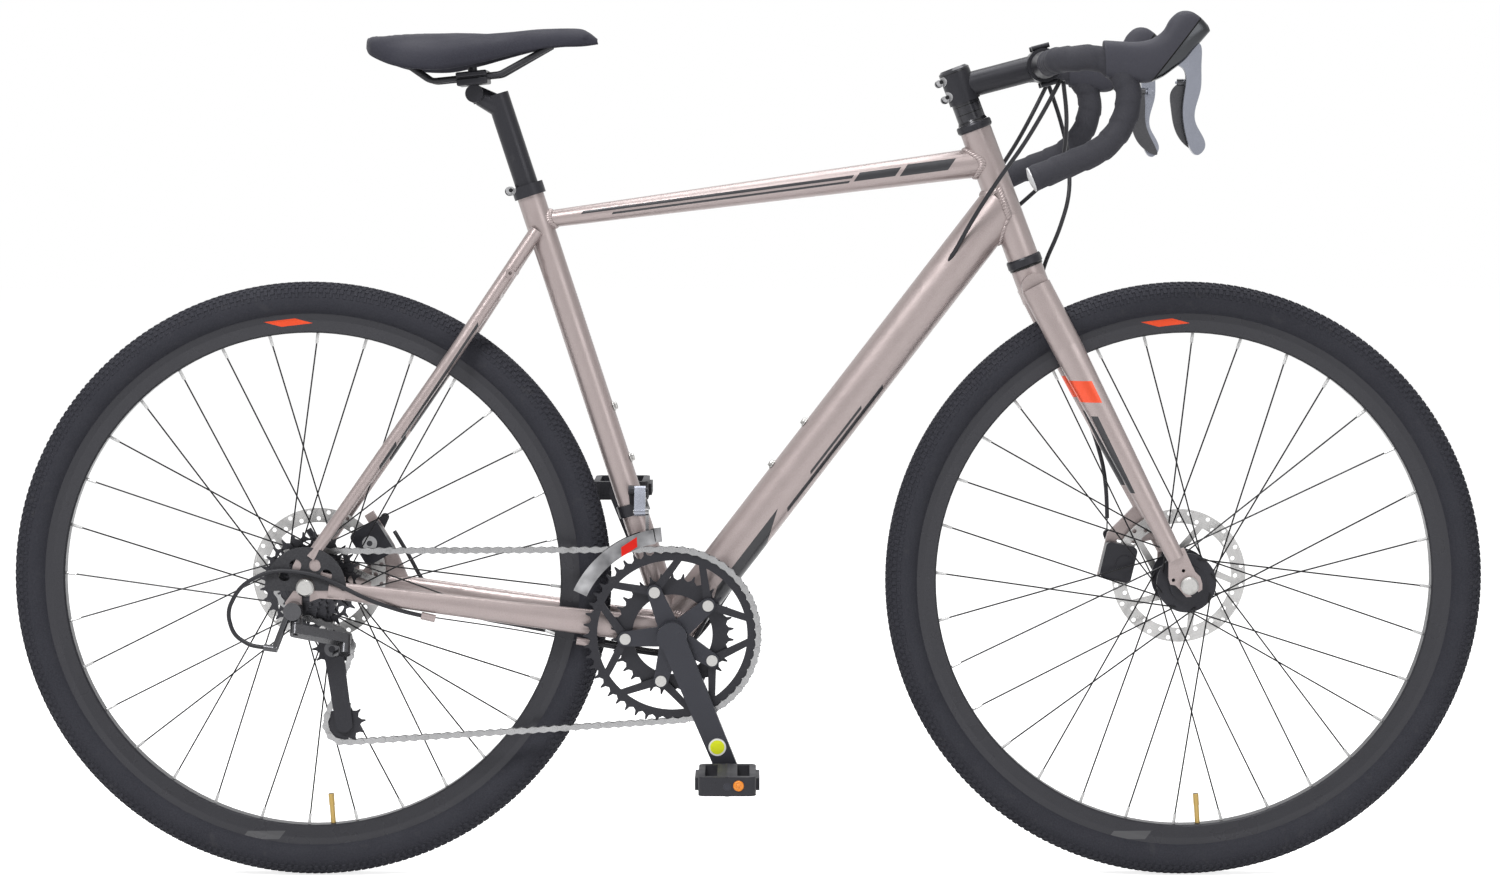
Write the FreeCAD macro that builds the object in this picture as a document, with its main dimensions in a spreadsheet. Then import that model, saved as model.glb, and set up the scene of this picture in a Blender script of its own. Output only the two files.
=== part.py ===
import FreeCAD, Part
import math
import os
from types import SimpleNamespace

import Sketcher
from FreeCAD import Placement, Rotation, Vector

# Gravel bike in millimetres and degrees. X points forward, Y to the rider's left, Z up.
# The origin lies on the ground midway between the two axles. The drive side faces -Y.

SIZES = {
    # layout
    "wheelbase": 1030,
    "tyre_radius": 353,
    "bb_drop": 59.5,
    "chainstay_length": 430,
    "head_angle": 69.3,
    "seat_angle": 72,
    "fork_rake": 45,
    "fork_length": 412,
    "head_tube_length": 159,
    "seat_tube_length": 551,
    "running_gap": 0.05,
    "clear_gap": 0.3,
    # frame tubes
    "tube_wall": 1.8,
    "head_tube_od": 37,
    "head_tube_bore": 33.9,
    "seat_tube_od": 31.8,
    "top_tube_rear_size": 20,
    "top_tube_front_size": 35,
    "top_tube_seat_drop": 42,
    "top_tube_head_drop": 39,
    "down_tube_width": 46,
    "down_tube_height": 53,
    "down_tube_head_rise": 68,
    "bb_shell_od": 42,
    "bb_shell_bore": 34.6,
    "bb_shell_width": 68,
    "stay_bridge_od": 13,
    "seat_stay_od": 16,
    "dropout_thickness": 6,
    "rear_hub_width": 135,
    "front_hub_width": 100,
    "eyelet_bore": 4.2,
    # headset
    "cup_od": 42,
    "lower_cup_height": 11,
    "upper_cup_height": 9,
    "crown_race_height": 2,
    "spacer_od": 33,
    "spacer_height": 7,
    "steerer_od": 28.6,
    "steerer_bore": 24.6,
    # fork
    "crown_od": 38,
    "crown_height": 40,
    "leg_top_height": 36,
    "leg_top_width": 24,
    "leg_bottom_height": 20,
    "leg_bottom_width": 16,
    # stem and bar
    "stem_rise": 53,
    "stem_length": 100,
    "stem_slope": 14.7,
    "stem_od": 30,
    "stem_barrel_od": 37,
    "stem_barrel_height": 36,
    "bar_clamp_od": 31.8,
    "bar_clamp_width": 44,
    "stem_clamp_wall": 4,
    "bar_od": 23.8,
    "bar_wall": 2,
    "bar_width": 416,
    "tape_od": 30,
    "tape_start": 82,
    "bar_reach": 88,
    "bar_drop": 132,
    "bar_corner_radius": 29,
    "bar_front_radius": 44,
    "bar_drop_radius": 72,
    # levers
    "hood_width": 33,
    "lever_thickness": 10,
    "lever_pin_od": 5,
    "paddle_thickness": 3.2,
    # seat
    "post_od": 27.2,
    "post_wall": 2.4,
    "post_above_collar": 113,
    "post_below_collar": 190,
    "collar_od": 38,
    "collar_height": 14,
    "saddle_length": 269,
    "saddle_width": 150,
    "rail_od": 7,
    "rail_spacing": 44,
    # wheels
    "tyre_width": 42,
    "tyre_wall": 3,
    "bead_radius": 311,
    "rim_radius": 316,
    "rim_inner_radius": 293,
    "rim_width": 23.2,
    "rim_wall": 2.2,
    "valve_length": 49,
    "valve_cap": 14,
    "valve_od": 6,
    "spoke_count": 32,
    "spoke_od": 2,
    "nipple_od": 4,
    "nipple_length": 12,
    "flange_radius": 35,
    "spoke_circle_radius": 31,
    "flange_thickness": 3.4,
    "axle_od": 9.4,
    "skewer_od": 5,
    "bearing_od": 22,
    "bearing_width": 8,
    "rotor_radius": 80,
    "rotor_thickness": 1.8,
    "rotor_spigot_od": 35,
    "front_rotor_inset": 10.5,
    "rear_rotor_inset": 15.3,
    # drivetrain
    "chain_pitch": 12.7,
    "roller_od": 7.7,
    "chain_inner_width": 3,
    "chain_plate": 0.95,
    "chain_play": 0.12,
    "tooth_thickness": 1.6,
    "big_ring_teeth": 50,
    "small_ring_teeth": 34,
    "ring_line": 49,
    "ring_spacing": 7.2,
    "bolt_circle_radius": 55,
    "crank_length": 170,
    "crank_angle": -67.5,
    "crank_width": 27,
    "crank_thickness": 13,
    "spindle_od": 17,
    "pedal_width": 92,
    "pedal_length": 66,
    "pedal_height": 22,
    "smallest_cog_line": 61,
    "cog_spacing": 4.8,
    "freehub_od": 34.6,
    "pulley_teeth": 11,
    "cage_length": 91,
    # cables
    "housing_od": 5,
    "wire_od": 1.6,
}
COG_TEETH = [11, 13, 15, 17, 19, 21, 24, 28]
CHAIN_COG = 4
CHAIN_LINKS = 114

doc = FreeCAD.newDocument("gravel_bike")
sheet = doc.addObject("Spreadsheet::Sheet", "Sizes")
for row, (alias, number) in enumerate(SIZES.items(), start=1):
    sheet.set(f"A{row}", alias)
    sheet.set(f"B{row}", str(number))
    sheet.setAlias(f"B{row}", alias)
doc.recompute()


class Size:
    """A number that keeps the sheet expression it came from, so that features can be bound to it."""

    def __init__(self, value, text):
        self.value = value
        self.text = text

    def __float__(self):
        return self.value

    def __neg__(self):
        return Size(-self.value, f"(-{self.text})")

    def __add__(self, other):
        return Size(self.value + float(other), f"({self.text} + {text_of(other)})")

    def __radd__(self, other):
        return Size(float(other) + self.value, f"({text_of(other)} + {self.text})")

    def __sub__(self, other):
        return Size(self.value - float(other), f"({self.text} - {text_of(other)})")

    def __rsub__(self, other):
        return Size(float(other) - self.value, f"({text_of(other)} - {self.text})")

    def __mul__(self, other):
        return Size(self.value * float(other), f"({self.text} * {text_of(other)})")

    __rmul__ = __mul__

    def __truediv__(self, other):
        return Size(self.value / float(other), f"({self.text} / {text_of(other)})")


def text_of(number):
    return number.text if isinstance(number, Size) else repr(float(number))


d = SimpleNamespace(**{name: Size(float(sheet.get(name)), f"Sizes.{name}") for name in SIZES})
RIGHT, LEFT = -1, 1
Y_AXIS = Vector(0, 1, 0)
parts = {}


# Building blocks

def bind(obj, **sizes):
    """Set sizes on a feature and tie each to the sheet."""
    for prop, size in sizes.items():
        setattr(obj, prop, float(size))
        if isinstance(size, Size):
            obj.setExpression(prop, size.text)


def sub_part(label, *pieces):
    """Name one node of the assembly. Several pieces become a group of separate solids."""
    node = pieces[0]
    if len(pieces) > 1:
        node = doc.addObject("Part::Compound", label + "_group")
        node.Links = list(pieces)
    node.Label = label
    parts[label] = node
    return node


def feature(name, shape, placement=None):
    obj = doc.addObject("Part::Feature", name)
    obj.Shape = shape
    if placement:
        obj.Placement = placement
    return obj


def at(point, x=0, y=0, z=0):
    """A point moved by an offset."""
    return point + Vector(float(x), float(y), float(z))


def unit(vector):
    return Vector(vector).normalize()


def polar(radius, angle, y=0):
    """A point on a circle about Y, with the angle in degrees from +X towards +Z."""
    turn = math.radians(float(angle))
    return Vector(float(radius) * math.cos(turn), float(y), float(radius) * math.sin(turn))


def stand(origin, axis, across=Y_AXIS):
    """A placement whose local Z runs along axis, with local X turned towards across."""
    z = unit(axis)
    x = across - z * across.dot(z)
    if x.Length < 1e-6:
        x = Vector(1, 0, 0) - z * z.x
    return Placement(origin, Rotation(x, z.cross(x), z, "ZXY"))


def rod(name, start, end, radius, end_radius=None):
    """A cylinder or cone between two points."""
    obj = doc.addObject("Part::Cylinder" if end_radius is None else "Part::Cone", name)
    if end_radius is None:
        bind(obj, Radius=radius)
    else:
        bind(obj, Radius1=radius, Radius2=end_radius)
    obj.Height = (end - start).Length
    obj.Placement = stand(start, end - start)
    return obj


def cross_rod(name, centre, y_start, y_end, radius):
    """A cylinder across the bike, between two Y values."""
    low = Vector(centre.x, float(y_start), centre.z)
    high = Vector(centre.x, float(y_end), centre.z)
    return rod(name, low, high, radius)


def cut(name, base, *tools):
    result = base
    for number, tool in enumerate(tools):
        step = doc.addObject("Part::Cut", f"{name}_cut{number}" if number < len(tools) - 1 else name)
        step.Base = result
        step.Tool = tool
        result = step
    return result


def fuse(name, *pieces):
    obj = doc.addObject("Part::MultiFuse", name)
    obj.Shapes = list(pieces)
    return obj


def mirrored(name, source):
    """The same piece on the other side of the bike."""
    obj = doc.addObject("Part::Mirroring", name)
    obj.Source = source
    obj.Normal = Y_AXIS
    return obj


def draw_loop(sketch, loop):
    """Draw one closed loop. A vertex is (x, y), or (x, y, cx, cy) when an arc about (cx, cy) leads to it."""
    first = sketch.GeometryCount
    ends = []
    for number, vertex in enumerate(loop):
        before = Vector(float(loop[number - 1][0]), float(loop[number - 1][1]), 0)
        here = Vector(float(vertex[0]), float(vertex[1]), 0)
        if len(vertex) == 2:
            sketch.addGeometry(Part.LineSegment(before, here))
            ends.append((1, 2))
            continue
        middle = Vector(float(vertex[2]), float(vertex[3]), 0)
        spread_a, spread_b = before - middle, here - middle
        turns_left = spread_a.cross(spread_b).z > 0
        low, high = (spread_a, spread_b) if turns_left else (spread_b, spread_a)
        angle_a, angle_b = math.atan2(low.y, low.x), math.atan2(high.y, high.x)
        circle = Part.Circle(middle, Vector(0, 0, 1), spread_a.Length)
        sketch.addGeometry(Part.ArcOfCircle(circle, angle_a, angle_b))
        ends.append((1, 2) if turns_left else (2, 1))
    count = len(loop)
    for number, vertex in enumerate(loop):
        edge, following = first + number, first + (number + 1) % count
        tail, head = ends[number][1], ends[(number + 1) % count][0]
        sketch.addConstraint(Sketcher.Constraint("Coincident", edge, tail, following, head))
        along_x = along_y = True
        if len(vertex) == 4:
            hold(sketch, "DistanceX", edge, 3, vertex[2])
            hold(sketch, "DistanceY", edge, 3, vertex[3])
            steep = abs(float(vertex[1]) - float(vertex[3])) > abs(float(vertex[0]) - float(vertex[2]))
            along_x, along_y = steep, not steep
        if along_x:
            hold(sketch, "DistanceX", edge, tail, vertex[0])
        if along_y:
            hold(sketch, "DistanceY", edge, tail, vertex[1])


def draw_circle(sketch, x, y, radius):
    centre = Vector(float(x), float(y), 0)
    edge = sketch.addGeometry(Part.Circle(centre, Vector(0, 0, 1), float(radius)))
    hold(sketch, "DistanceX", edge, 3, x)
    hold(sketch, "DistanceY", edge, 3, y)
    number = sketch.addConstraint(Sketcher.Constraint("Radius", edge, float(radius)))
    if isinstance(radius, Size):
        sketch.setExpression(f"Constraints[{number}]", radius.text)


def hold(sketch, kind, edge, point, size):
    """Fix one coordinate of a sketch point from the origin and tie it to the sheet."""
    number = sketch.addConstraint(Sketcher.Constraint(kind, -1, 1, edge, point, float(size)))
    if isinstance(size, Size):
        sketch.setExpression(f"Constraints[{number}]", size.text)


def new_sketch(body, name):
    sketch = body.newObject("Sketcher::SketchObject", name)
    plane = next(item for item in body.Origin.OriginFeatures if item.Role == "XZ_Plane")
    sketch.AttachmentSupport = (plane, "")
    sketch.MapMode = "FlatFace"
    return sketch


def turned(name, profile, origin, axis=Y_AXIS, more=()):
    """A body turned about axis, from closed profiles of (radius, distance along the axis) points."""
    body = doc.addObject("PartDesign::Body", name)
    sketch = new_sketch(body, name + "_profile")
    for loop in (profile, *more):
        draw_loop(sketch, loop)
    turning = body.newObject("PartDesign::Revolution", name + "_turning")
    turning.Profile = sketch
    turning.ReferenceAxis = (sketch, ["V_Axis"])
    turning.Angle = 360
    body.Placement = stand(origin, axis)
    return body


def ring(name, inner, outer, start, end, origin, axis=Y_AXIS):
    """A plain turned ring from start to end along the axis."""
    return turned(name, [(inner, start), (outer, start), (outer, end), (inner, end)], origin, axis)


def plate(name, loops, thickness, origin, circles=(), corner=0):
    """A flat plate in the XZ plane, from the origin's Y towards the drive side."""
    body = doc.addObject("PartDesign::Body", name)
    sketch = new_sketch(body, name + "_outline")
    for loop in loops:
        draw_loop(sketch, loop)
    for circle in circles:
        draw_circle(sketch, *circle)
    pad = body.newObject("PartDesign::Pad", name + "_pad")
    pad.Profile = sketch
    bind(pad, Length=thickness)
    if corner:
        doc.recompute()
        edges = [f"Edge{number}" for number, edge in enumerate(pad.Shape.Edges, start=1) if is_corner(edge)]
        rounding = body.newObject("PartDesign::Fillet", name + "_rounding")
        rounding.Base = (pad, edges)
        bind(rounding, Radius=corner)
    body.Placement = Placement(origin, Rotation())
    return body


def is_corner(edge):
    """True for a straight edge that runs across the bike between two flat faces."""
    if len(edge.Vertexes) != 2 or edge.Curve.TypeId != "Part::GeomLine":
        return False
    return abs(edge.tangentAt(edge.FirstParameter).y) > 0.99


def oval_tube(name, stations, wall=0, direction=None, plug=1):
    """A loft through ovals. A station is (centre, width across the bike, height).
    With a wall it is hollow, up to a share of the last run given by plug."""
    shells = []
    for inset in ([0, wall] if float(wall) else [0]):
        sections = []
        if inset and plug < 1:
            (last, width, height), (before_last, *_) = stations[-1], stations[-2]
            stations = stations[:-1] + [(before_last + (last - before_last) * plug, width, height)]
        for number, (centre, width, height) in enumerate(stations):
            before = stations[max(number - 1, 0)][0]
            after = stations[min(number + 1, len(stations) - 1)][0]
            oval = doc.addObject("Part::Ellipse", f"{name}_oval{len(shells)}_{number}")
            bind(oval, MajorRadius=height / 2 - inset, MinorRadius=width / 2 - inset)
            oval.Placement = stand(centre, direction or after - before)
            quarter = Rotation(Vector(0, 0, 1), 90)
            oval.Placement = Placement(centre, oval.Placement.Rotation.multiply(quarter))
            sections.append(oval)
        loft = doc.addObject("Part::Loft", f"{name}_shell{len(shells)}")
        loft.Sections = sections
        loft.Solid = True
        loft.Ruled = True
        shells.append(loft)
    return cut(name, *shells) if len(shells) == 2 else shells[0]


def rounded_path(points, radius_of):
    """Straight runs joined by tangent arcs, as one wire."""
    edges = []
    start = points[0]
    for number in range(1, len(points) - 1):
        corner = points[number]
        back, on = unit(points[number - 1] - corner), unit(points[number + 1] - corner)
        half_turn = (math.pi - back.getAngle(on)) / 2
        shorter = min((points[number - 1] - corner).Length, (points[number + 1] - corner).Length)
        radius = radius_of(number, shorter, half_turn)
        reach = radius * math.tan(half_turn)
        middle = corner + unit(back + on) * (radius / math.cos(half_turn) - radius)
        edges.append(Part.LineSegment(start, corner + back * reach).toShape())
        edges.append(Part.Arc(corner + back * reach, middle, corner + on * reach).toShape())
        start = corner + on * reach
    edges.append(Part.LineSegment(start, points[-1]).toShape())
    return Part.Wire(edges)


def cord_radius(number, shorter, half_turn):
    """The largest even bend that the two runs beside a point allow."""
    return 0.45 * shorter / math.tan(half_turn)


def pipe(path, radius):
    """A round solid that follows a path."""
    first = path.Edges[0]
    heading = first.tangentAt(first.FirstParameter)
    profile = Part.Wire(Part.makeCircle(float(radius), path.Edges[0].valueAt(first.FirstParameter), heading))
    return path.makePipeShell([profile], True, False)


def cord(name, points, diameter):
    """A cable housing or wire along its route."""
    path = rounded_path([Vector(*point) for point in points], cord_radius)
    shape = pipe(path, diameter / 2)
    expected = math.pi * float(diameter) ** 2 / 4 * path.Length
    bends = [edge.Curve.Radius for edge in path.Edges if edge.Curve.TypeId == "Part::GeomCircle"]
    print(name, "length", round(path.Length), "volume ratio", round(shape.Volume / expected, 4),
          "smallest bend", round(min(bends), 1))
    return feature(name, shape)


def bar_outline(start, end, start_radius, end_radius):
    """A closed wire round two circles, in the plane of X and Z."""
    run = end - start
    along = unit(run)
    side = Vector(-along.z, 0, along.x)
    lean = (float(start_radius) - float(end_radius)) / run.Length
    rise = math.sqrt(1 - lean * lean)
    first, second = along * lean + side * rise, along * lean - side * rise
    a, b = start + first * float(start_radius), start + second * float(start_radius)
    e, f = end + first * float(end_radius), end + second * float(end_radius)
    edges = [
        Part.LineSegment(a, e).toShape(),
        Part.Arc(e, end + along * float(end_radius), f).toShape(),
        Part.LineSegment(f, b).toShape(),
        Part.Arc(b, start - along * float(start_radius), a).toShape(),
    ]
    return Part.Wire(edges)


def flat_bar(start, end, start_radius, end_radius, y_start, y_end, holes=()):
    """A straight bar with round ends, between two Y values, with (centre, radius) holes."""
    base = [Vector(point.x, float(y_start), point.z) for point in (start, end)]
    wires = [bar_outline(base[0], base[1], start_radius, end_radius)]
    for centre, radius in holes:
        middle = Vector(centre.x, float(y_start), centre.z)
        wires.append(Part.Wire(Part.makeCircle(float(radius), middle, Y_AXIS)))
    face = Part.Face(wires, "Part::FaceMakerBullseye")
    return face.extrude(Vector(0, float(y_end) - float(y_start), 0))


# Main points of the layout

REAR = Vector(-d.wheelbase / 2, 0, d.tyre_radius)
FRONT = Vector(d.wheelbase / 2, 0, d.tyre_radius)
stay_run = math.sqrt(float(d.chainstay_length) ** 2 - float(d.bb_drop) ** 2)
BB = at(REAR, x=stay_run, z=-d.bb_drop)
head_turn = math.radians(float(d.head_angle))
STEER_UP = Vector(-math.cos(head_turn), 0, math.sin(head_turn))
STEER_FORWARD = Vector(math.sin(head_turn), 0, math.cos(head_turn))
seat_turn = math.radians(float(d.seat_angle))
SEAT_UP = Vector(-math.cos(seat_turn), 0, math.sin(seat_turn))
steer_foot = FRONT - STEER_FORWARD * float(d.fork_rake)


def steer(distance):
    """A point on the steering axis, measured from beside the front axle."""
    return steer_foot + STEER_UP * float(distance)


def seat(distance):
    """A point on the seat tube's axis, measured from the bottom bracket."""
    return BB + SEAT_UP * float(distance)


crown_level = d.fork_length
head_low = crown_level + d.crown_race_height + d.lower_cup_height
head_high = head_low + d.head_tube_length
HEAD_LOW, HEAD_HIGH = steer(head_low), steer(head_high)
SEAT_TOP = seat(d.seat_tube_length)
rear_face = d.rear_hub_width / 2
front_face = d.front_hub_width / 2


# Wheels

def tyre(name, centre):
    """The open casing of a tubeless tyre, seated in the rim."""
    half = d.tyre_width / 2
    middle = d.tyre_radius - half
    reach = half - d.tyre_wall
    bead, lip = 8.8, 6.8
    neck, shoulder = d.rim_radius + 0.6, d.rim_radius + 4
    shoulder_half = math.sqrt(float(half) ** 2 - float(middle - shoulder) ** 2)
    inner_low = float(middle) - math.sqrt(float(reach) ** 2 - lip ** 2)
    casing = turned(name + "_casing", [
        (d.bead_radius, -lip),
        (d.bead_radius, -bead),
        (neck, -bead),
        (shoulder, -shoulder_half),
        (middle + half, 0, middle, 0),
        (shoulder, shoulder_half, middle, 0),
        (neck, bead),
        (d.bead_radius, bead),
        (d.bead_radius, lip),
        (inner_low, lip),
        (middle + reach, 0, middle, 0),
        (inner_low, -lip, middle, 0),
    ], centre)
    return sub_part(name, casing)


VALVE_ANGLE = -86


def rim(name, centre):
    """A hollow box-section rim with hooked flanges, drilled for its air valve."""
    half = d.rim_width / 2
    seat_half = 9.1
    well = d.bead_radius - 2
    slope = 2.2
    body = turned(name + "_ring", [
        (d.rim_radius, -half),
        (d.rim_radius, -seat_half),
        (well, -seat_half),
        (well - 3, -6),
        (well - 3, 6),
        (well, seat_half),
        (d.rim_radius, seat_half),
        (d.rim_radius, half),
        (well - 1, half),
        (d.rim_inner_radius + 2, half - slope),
        (d.rim_inner_radius, half - 2 * slope),
        (d.rim_inner_radius, -half + 2 * slope),
        (d.rim_inner_radius + 2, -half + slope),
        (well - 1, -half),
    ], centre, more=[[
        (well - 3 - d.rim_wall, -seat_half),
        (well - 3 - d.rim_wall, seat_half),
        (d.rim_inner_radius + d.rim_wall + 1, half - slope - d.rim_wall),
        (d.rim_inner_radius + d.rim_wall, half - 2 * slope - d.rim_wall),
        (d.rim_inner_radius + d.rim_wall, -half + 2 * slope + d.rim_wall),
        (d.rim_inner_radius + d.rim_wall + 1, -half + slope + d.rim_wall),
    ]])
    down = unit(polar(1, VALVE_ANGLE))
    hole = rod(name + "_valve_hole", centre + down * float(d.rim_radius),
               centre + down * float(d.rim_inner_radius - 5), d.valve_od / 2)
    stem_end = centre + down * float(well - 3 - d.valve_length)
    cap_end = stem_end + down * float(d.valve_cap)
    foot = rod(name + "_valve_foot", centre + down * float(well - 3), centre + down * float(well), d.valve_od)
    valve = rod(name + "_valve", cap_end, centre + down * float(well - 3), d.valve_od / 2)
    cap = rod(name + "_valve_cap", stem_end, cap_end, d.valve_od / 2 + 0.4)
    return sub_part(name, cut(name + "_drilled", body, hole), fuse(name + "_valve_stem", foot, valve), cap)


def hexagon_rod(start, end, diameter):
    """A slim six-sided rod, for pieces that repeat many times."""
    place = stand(start, end - start)
    turn = Rotation(Vector(1, 0, 0), 90)
    corners = [place.multVec(turn.multVec(polar(diameter / 2, 60 * k))) for k in range(7)]
    return Part.Face(Part.makePolygon(corners)).extrude(end - start)


def spokes(name, centre, right_flange, left_flange):
    """Tangential lacing, three crosses, with a nipple at the rim for each spoke."""
    count = int(d.spoke_count.value)
    per_side = count // 2
    step = 360 / count
    cross_turn = 3 * 360 / per_side
    half_flange = float(d.flange_thickness) / 2
    tight = half_flange + float(d.spoke_od) / 2 + float(d.running_gap)
    solids = []
    for number in range(count):
        side = RIGHT if number % 2 else LEFT
        flange = float(right_flange if side == RIGHT else left_flange)
        leading = (number // 2) % 2
        rim_angle = VALVE_ANGLE + step * (number + 0.5)
        hub_angle = rim_angle + (cross_turn if leading else -cross_turn)
        outward = tight + 1.15 if leading else -tight
        hub_end = centre + polar(d.spoke_circle_radius, hub_angle, flange + side * outward)
        rim_end = centre + polar(d.rim_inner_radius - d.clear_gap, rim_angle, side * 1.0)
        inward = unit(hub_end - rim_end)
        nipple_end = rim_end + inward * float(d.nipple_length)
        solids.append(hexagon_rod(rim_end, nipple_end, d.nipple_od))
        solids.append(hexagon_rod(nipple_end, hub_end, d.spoke_od))
    return sub_part(name, feature(name + "_set", Part.makeCompound(solids)))


def hub(name, centre, right_flange, left_flange, right_end, left_end, rotor_line):
    """A turned hub shell with two large flanges, a rotor seat and two bearings."""
    half = d.flange_thickness / 2
    barrel, cap, seat_radius, bore = 17, 21, 25, 8
    rotor_seat = rotor_line - d.rotor_thickness / 2
    shell = turned(name + "_shell", [
        (d.bearing_od / 2, right_end),
        (cap, right_end),
        (cap, right_flange - half),
        (d.flange_radius, right_flange - half),
        (d.flange_radius, right_flange + half),
        (d.flange_radius - 8, right_flange + half),
        (barrel, right_flange + half + 4),
        (barrel, left_flange - half - 4),
        (d.flange_radius - 8, left_flange - half),
        (d.flange_radius, left_flange - half),
        (d.flange_radius, left_flange + half),
        (seat_radius, left_flange + half),
        (seat_radius, rotor_seat),
        (d.rotor_spigot_od / 2, rotor_seat),
        (d.rotor_spigot_od / 2, left_end),
        (d.bearing_od / 2, left_end),
        (d.bearing_od / 2, left_end - d.bearing_width),
        (bore, left_end - d.bearing_width),
        (bore, right_end + d.bearing_width),
        (d.bearing_od / 2, right_end + d.bearing_width),
    ], centre)
    inner = d.axle_od / 2 + d.running_gap
    right_bearing = ring(name + "_right_bearing", inner, d.bearing_od / 2, right_end,
                         right_end + d.bearing_width, centre)
    left_bearing = ring(name + "_left_bearing", inner, d.bearing_od / 2, left_end - d.bearing_width,
                        left_end, centre)
    return sub_part(name, shell, right_bearing, left_bearing)


def rotor_shape():
    """A disc brake rotor about Y: a drilled friction ring on five swept arms."""
    half = float(d.rotor_thickness) / 2
    outer = float(d.rotor_radius)
    inner = outer - 17
    hub_outer = 27
    spigot = float(d.rotor_spigot_od) / 2
    low = Vector(0, -half, 0)
    deep = float(d.rotor_thickness)
    friction = Part.makeCylinder(outer, deep, low, Y_AXIS).cut(Part.makeCylinder(inner, deep, low, Y_AXIS))
    carrier = Part.makeCylinder(hub_outer, deep, low, Y_AXIS).cut(Part.makeCylinder(spigot, deep, low, Y_AXIS))
    arms = []
    for number in range(5):
        angle = -6 + 72 * number
        arms.append(flat_bar(polar(hub_outer - 3, angle + 38), polar(inner + 4, angle), 4.5, 3.5, -half, half))
    body = carrier.multiFuse([friction, *arms]).removeSplitter()
    drills = []
    for row, radius in enumerate((outer - 12.5, outer - 4.5)):
        for number in range(20):
            spot = polar(radius, 18 * number + 9 * row, -half)
            drills.append(Part.makeCylinder(2.6, deep, spot, Y_AXIS))
    return body.cut(Part.makeCompound(drills))


ROTOR = rotor_shape()


def rotor(name, centre, rotor_line):
    """The rotor and the six bolts that hold it to the hub."""
    place = at(centre, y=rotor_line)
    disc = feature(name + "_disc", ROTOR.copy(), Placement(place, Rotation()))
    face = d.rotor_thickness / 2
    heads = []
    for number in range(6):
        spot = at(place + polar(22, 60 * number + 12), y=face)
        heads.append(Part.makeCylinder(3.6, 2.4, spot, Y_AXIS))
    return sub_part(name, disc, feature(name + "_bolts", Part.makeCompound(heads)))


def axle(name, centre, face, right_lock, left_lock):
    """A hollow axle with its locknuts, the skewer through it and the nut and cam housing on its ends."""
    stub = d.dropout_thickness - 0.5
    nut_radius = 10.5
    outside = face + d.dropout_thickness
    shaft = turned(name + "_shaft", [
        (d.skewer_od / 2, -face - stub),
        (d.axle_od / 2, -face - stub),
        (d.axle_od / 2, -face),
        (8, -face),
        (8, -right_lock),
        (d.axle_od / 2, -right_lock),
        (d.axle_od / 2, left_lock),
        (8, left_lock),
        (8, face),
        (d.axle_od / 2, face),
        (d.axle_od / 2, face + stub),
        (d.skewer_od / 2, face + stub),
    ], centre)
    skewer = turned(name + "_skewer", [
        (0, -outside - 9),
        (nut_radius - 2, -outside - 9),
        (nut_radius, -outside - 7),
        (nut_radius, -outside),
        (d.skewer_od / 2, -outside),
        (d.skewer_od / 2, outside),
        (0, outside),
    ], centre)
    housing = cross_rod(name + "_cam_housing", centre, outside, outside + 16, 8.5)
    cam_line = at(centre, y=outside + CAM_HEIGHT)
    cam_bore = rod(name + "_cam_bore", cam_line - QR_PIVOT * 20, cam_line + QR_PIVOT * 20,
                   CAM_RADIUS + d.running_gap)
    return sub_part(name, shaft, skewer, cut(name + "_cam_house", housing, cam_bore))


QR_DIRECTION = unit(Vector(-0.55, 0, 0.835))
QR_PIVOT = Vector(QR_DIRECTION.z, 0, -QR_DIRECTION.x)
CAM_HEIGHT = 9
CAM_RADIUS = 5


def qr_lever(name, centre, face):
    """The quick-release cam and its curved lever."""
    outside = face + d.dropout_thickness
    pivot = at(centre, y=outside + CAM_HEIGHT)
    cam = Part.makeCylinder(CAM_RADIUS, 22, pivot - QR_PIVOT * 9, QR_PIVOT)
    root = pivot + QR_PIVOT * 13
    points = [root, root + QR_DIRECTION * 22 + Vector(0, 4, 0), root + QR_DIRECTION * 52 + Vector(0, 5, 0)]
    arm = pipe(rounded_path(points, lambda number, shorter, half_turn: 20), 4)
    eye = Part.makeCylinder(7, 8, pivot + QR_PIVOT * 9, QR_PIVOT)
    return sub_part(name, feature(name + "_shape", cam.multiFuse([eye, arm])))


front_rotor_line = front_face - d.front_rotor_inset
rear_rotor_line = rear_face - d.rear_rotor_inset
FRONT_FLANGES = (-32, 22)
REAR_FLANGES = (-19, 33)
for wheel_name, wheel_centre, flanges in (("front", FRONT, FRONT_FLANGES), ("rear", REAR, REAR_FLANGES)):
    tyre(wheel_name + "_tyre", wheel_centre)
    rim(wheel_name + "_rim", wheel_centre)
    spokes(wheel_name + "_spokes", wheel_centre, *flanges)
lock_gap = d.clear_gap
hub("front_hub", FRONT, *FRONT_FLANGES, -42, 44, front_rotor_line)
hub("rear_hub", REAR, *REAR_FLANGES, -23, 59, rear_rotor_line)
rotor("front_rotor", FRONT, front_rotor_line)
rotor("rear_rotor", REAR, rear_rotor_line)
axle("front_axle", FRONT, front_face, 42 + lock_gap, 44 + lock_gap)
axle("rear_axle", REAR, rear_face, 65 + lock_gap, 59 + lock_gap)
qr_lever("front_qr_lever", FRONT, front_face)
qr_lever("rear_qr_lever", REAR, rear_face)


# Frame

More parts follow.
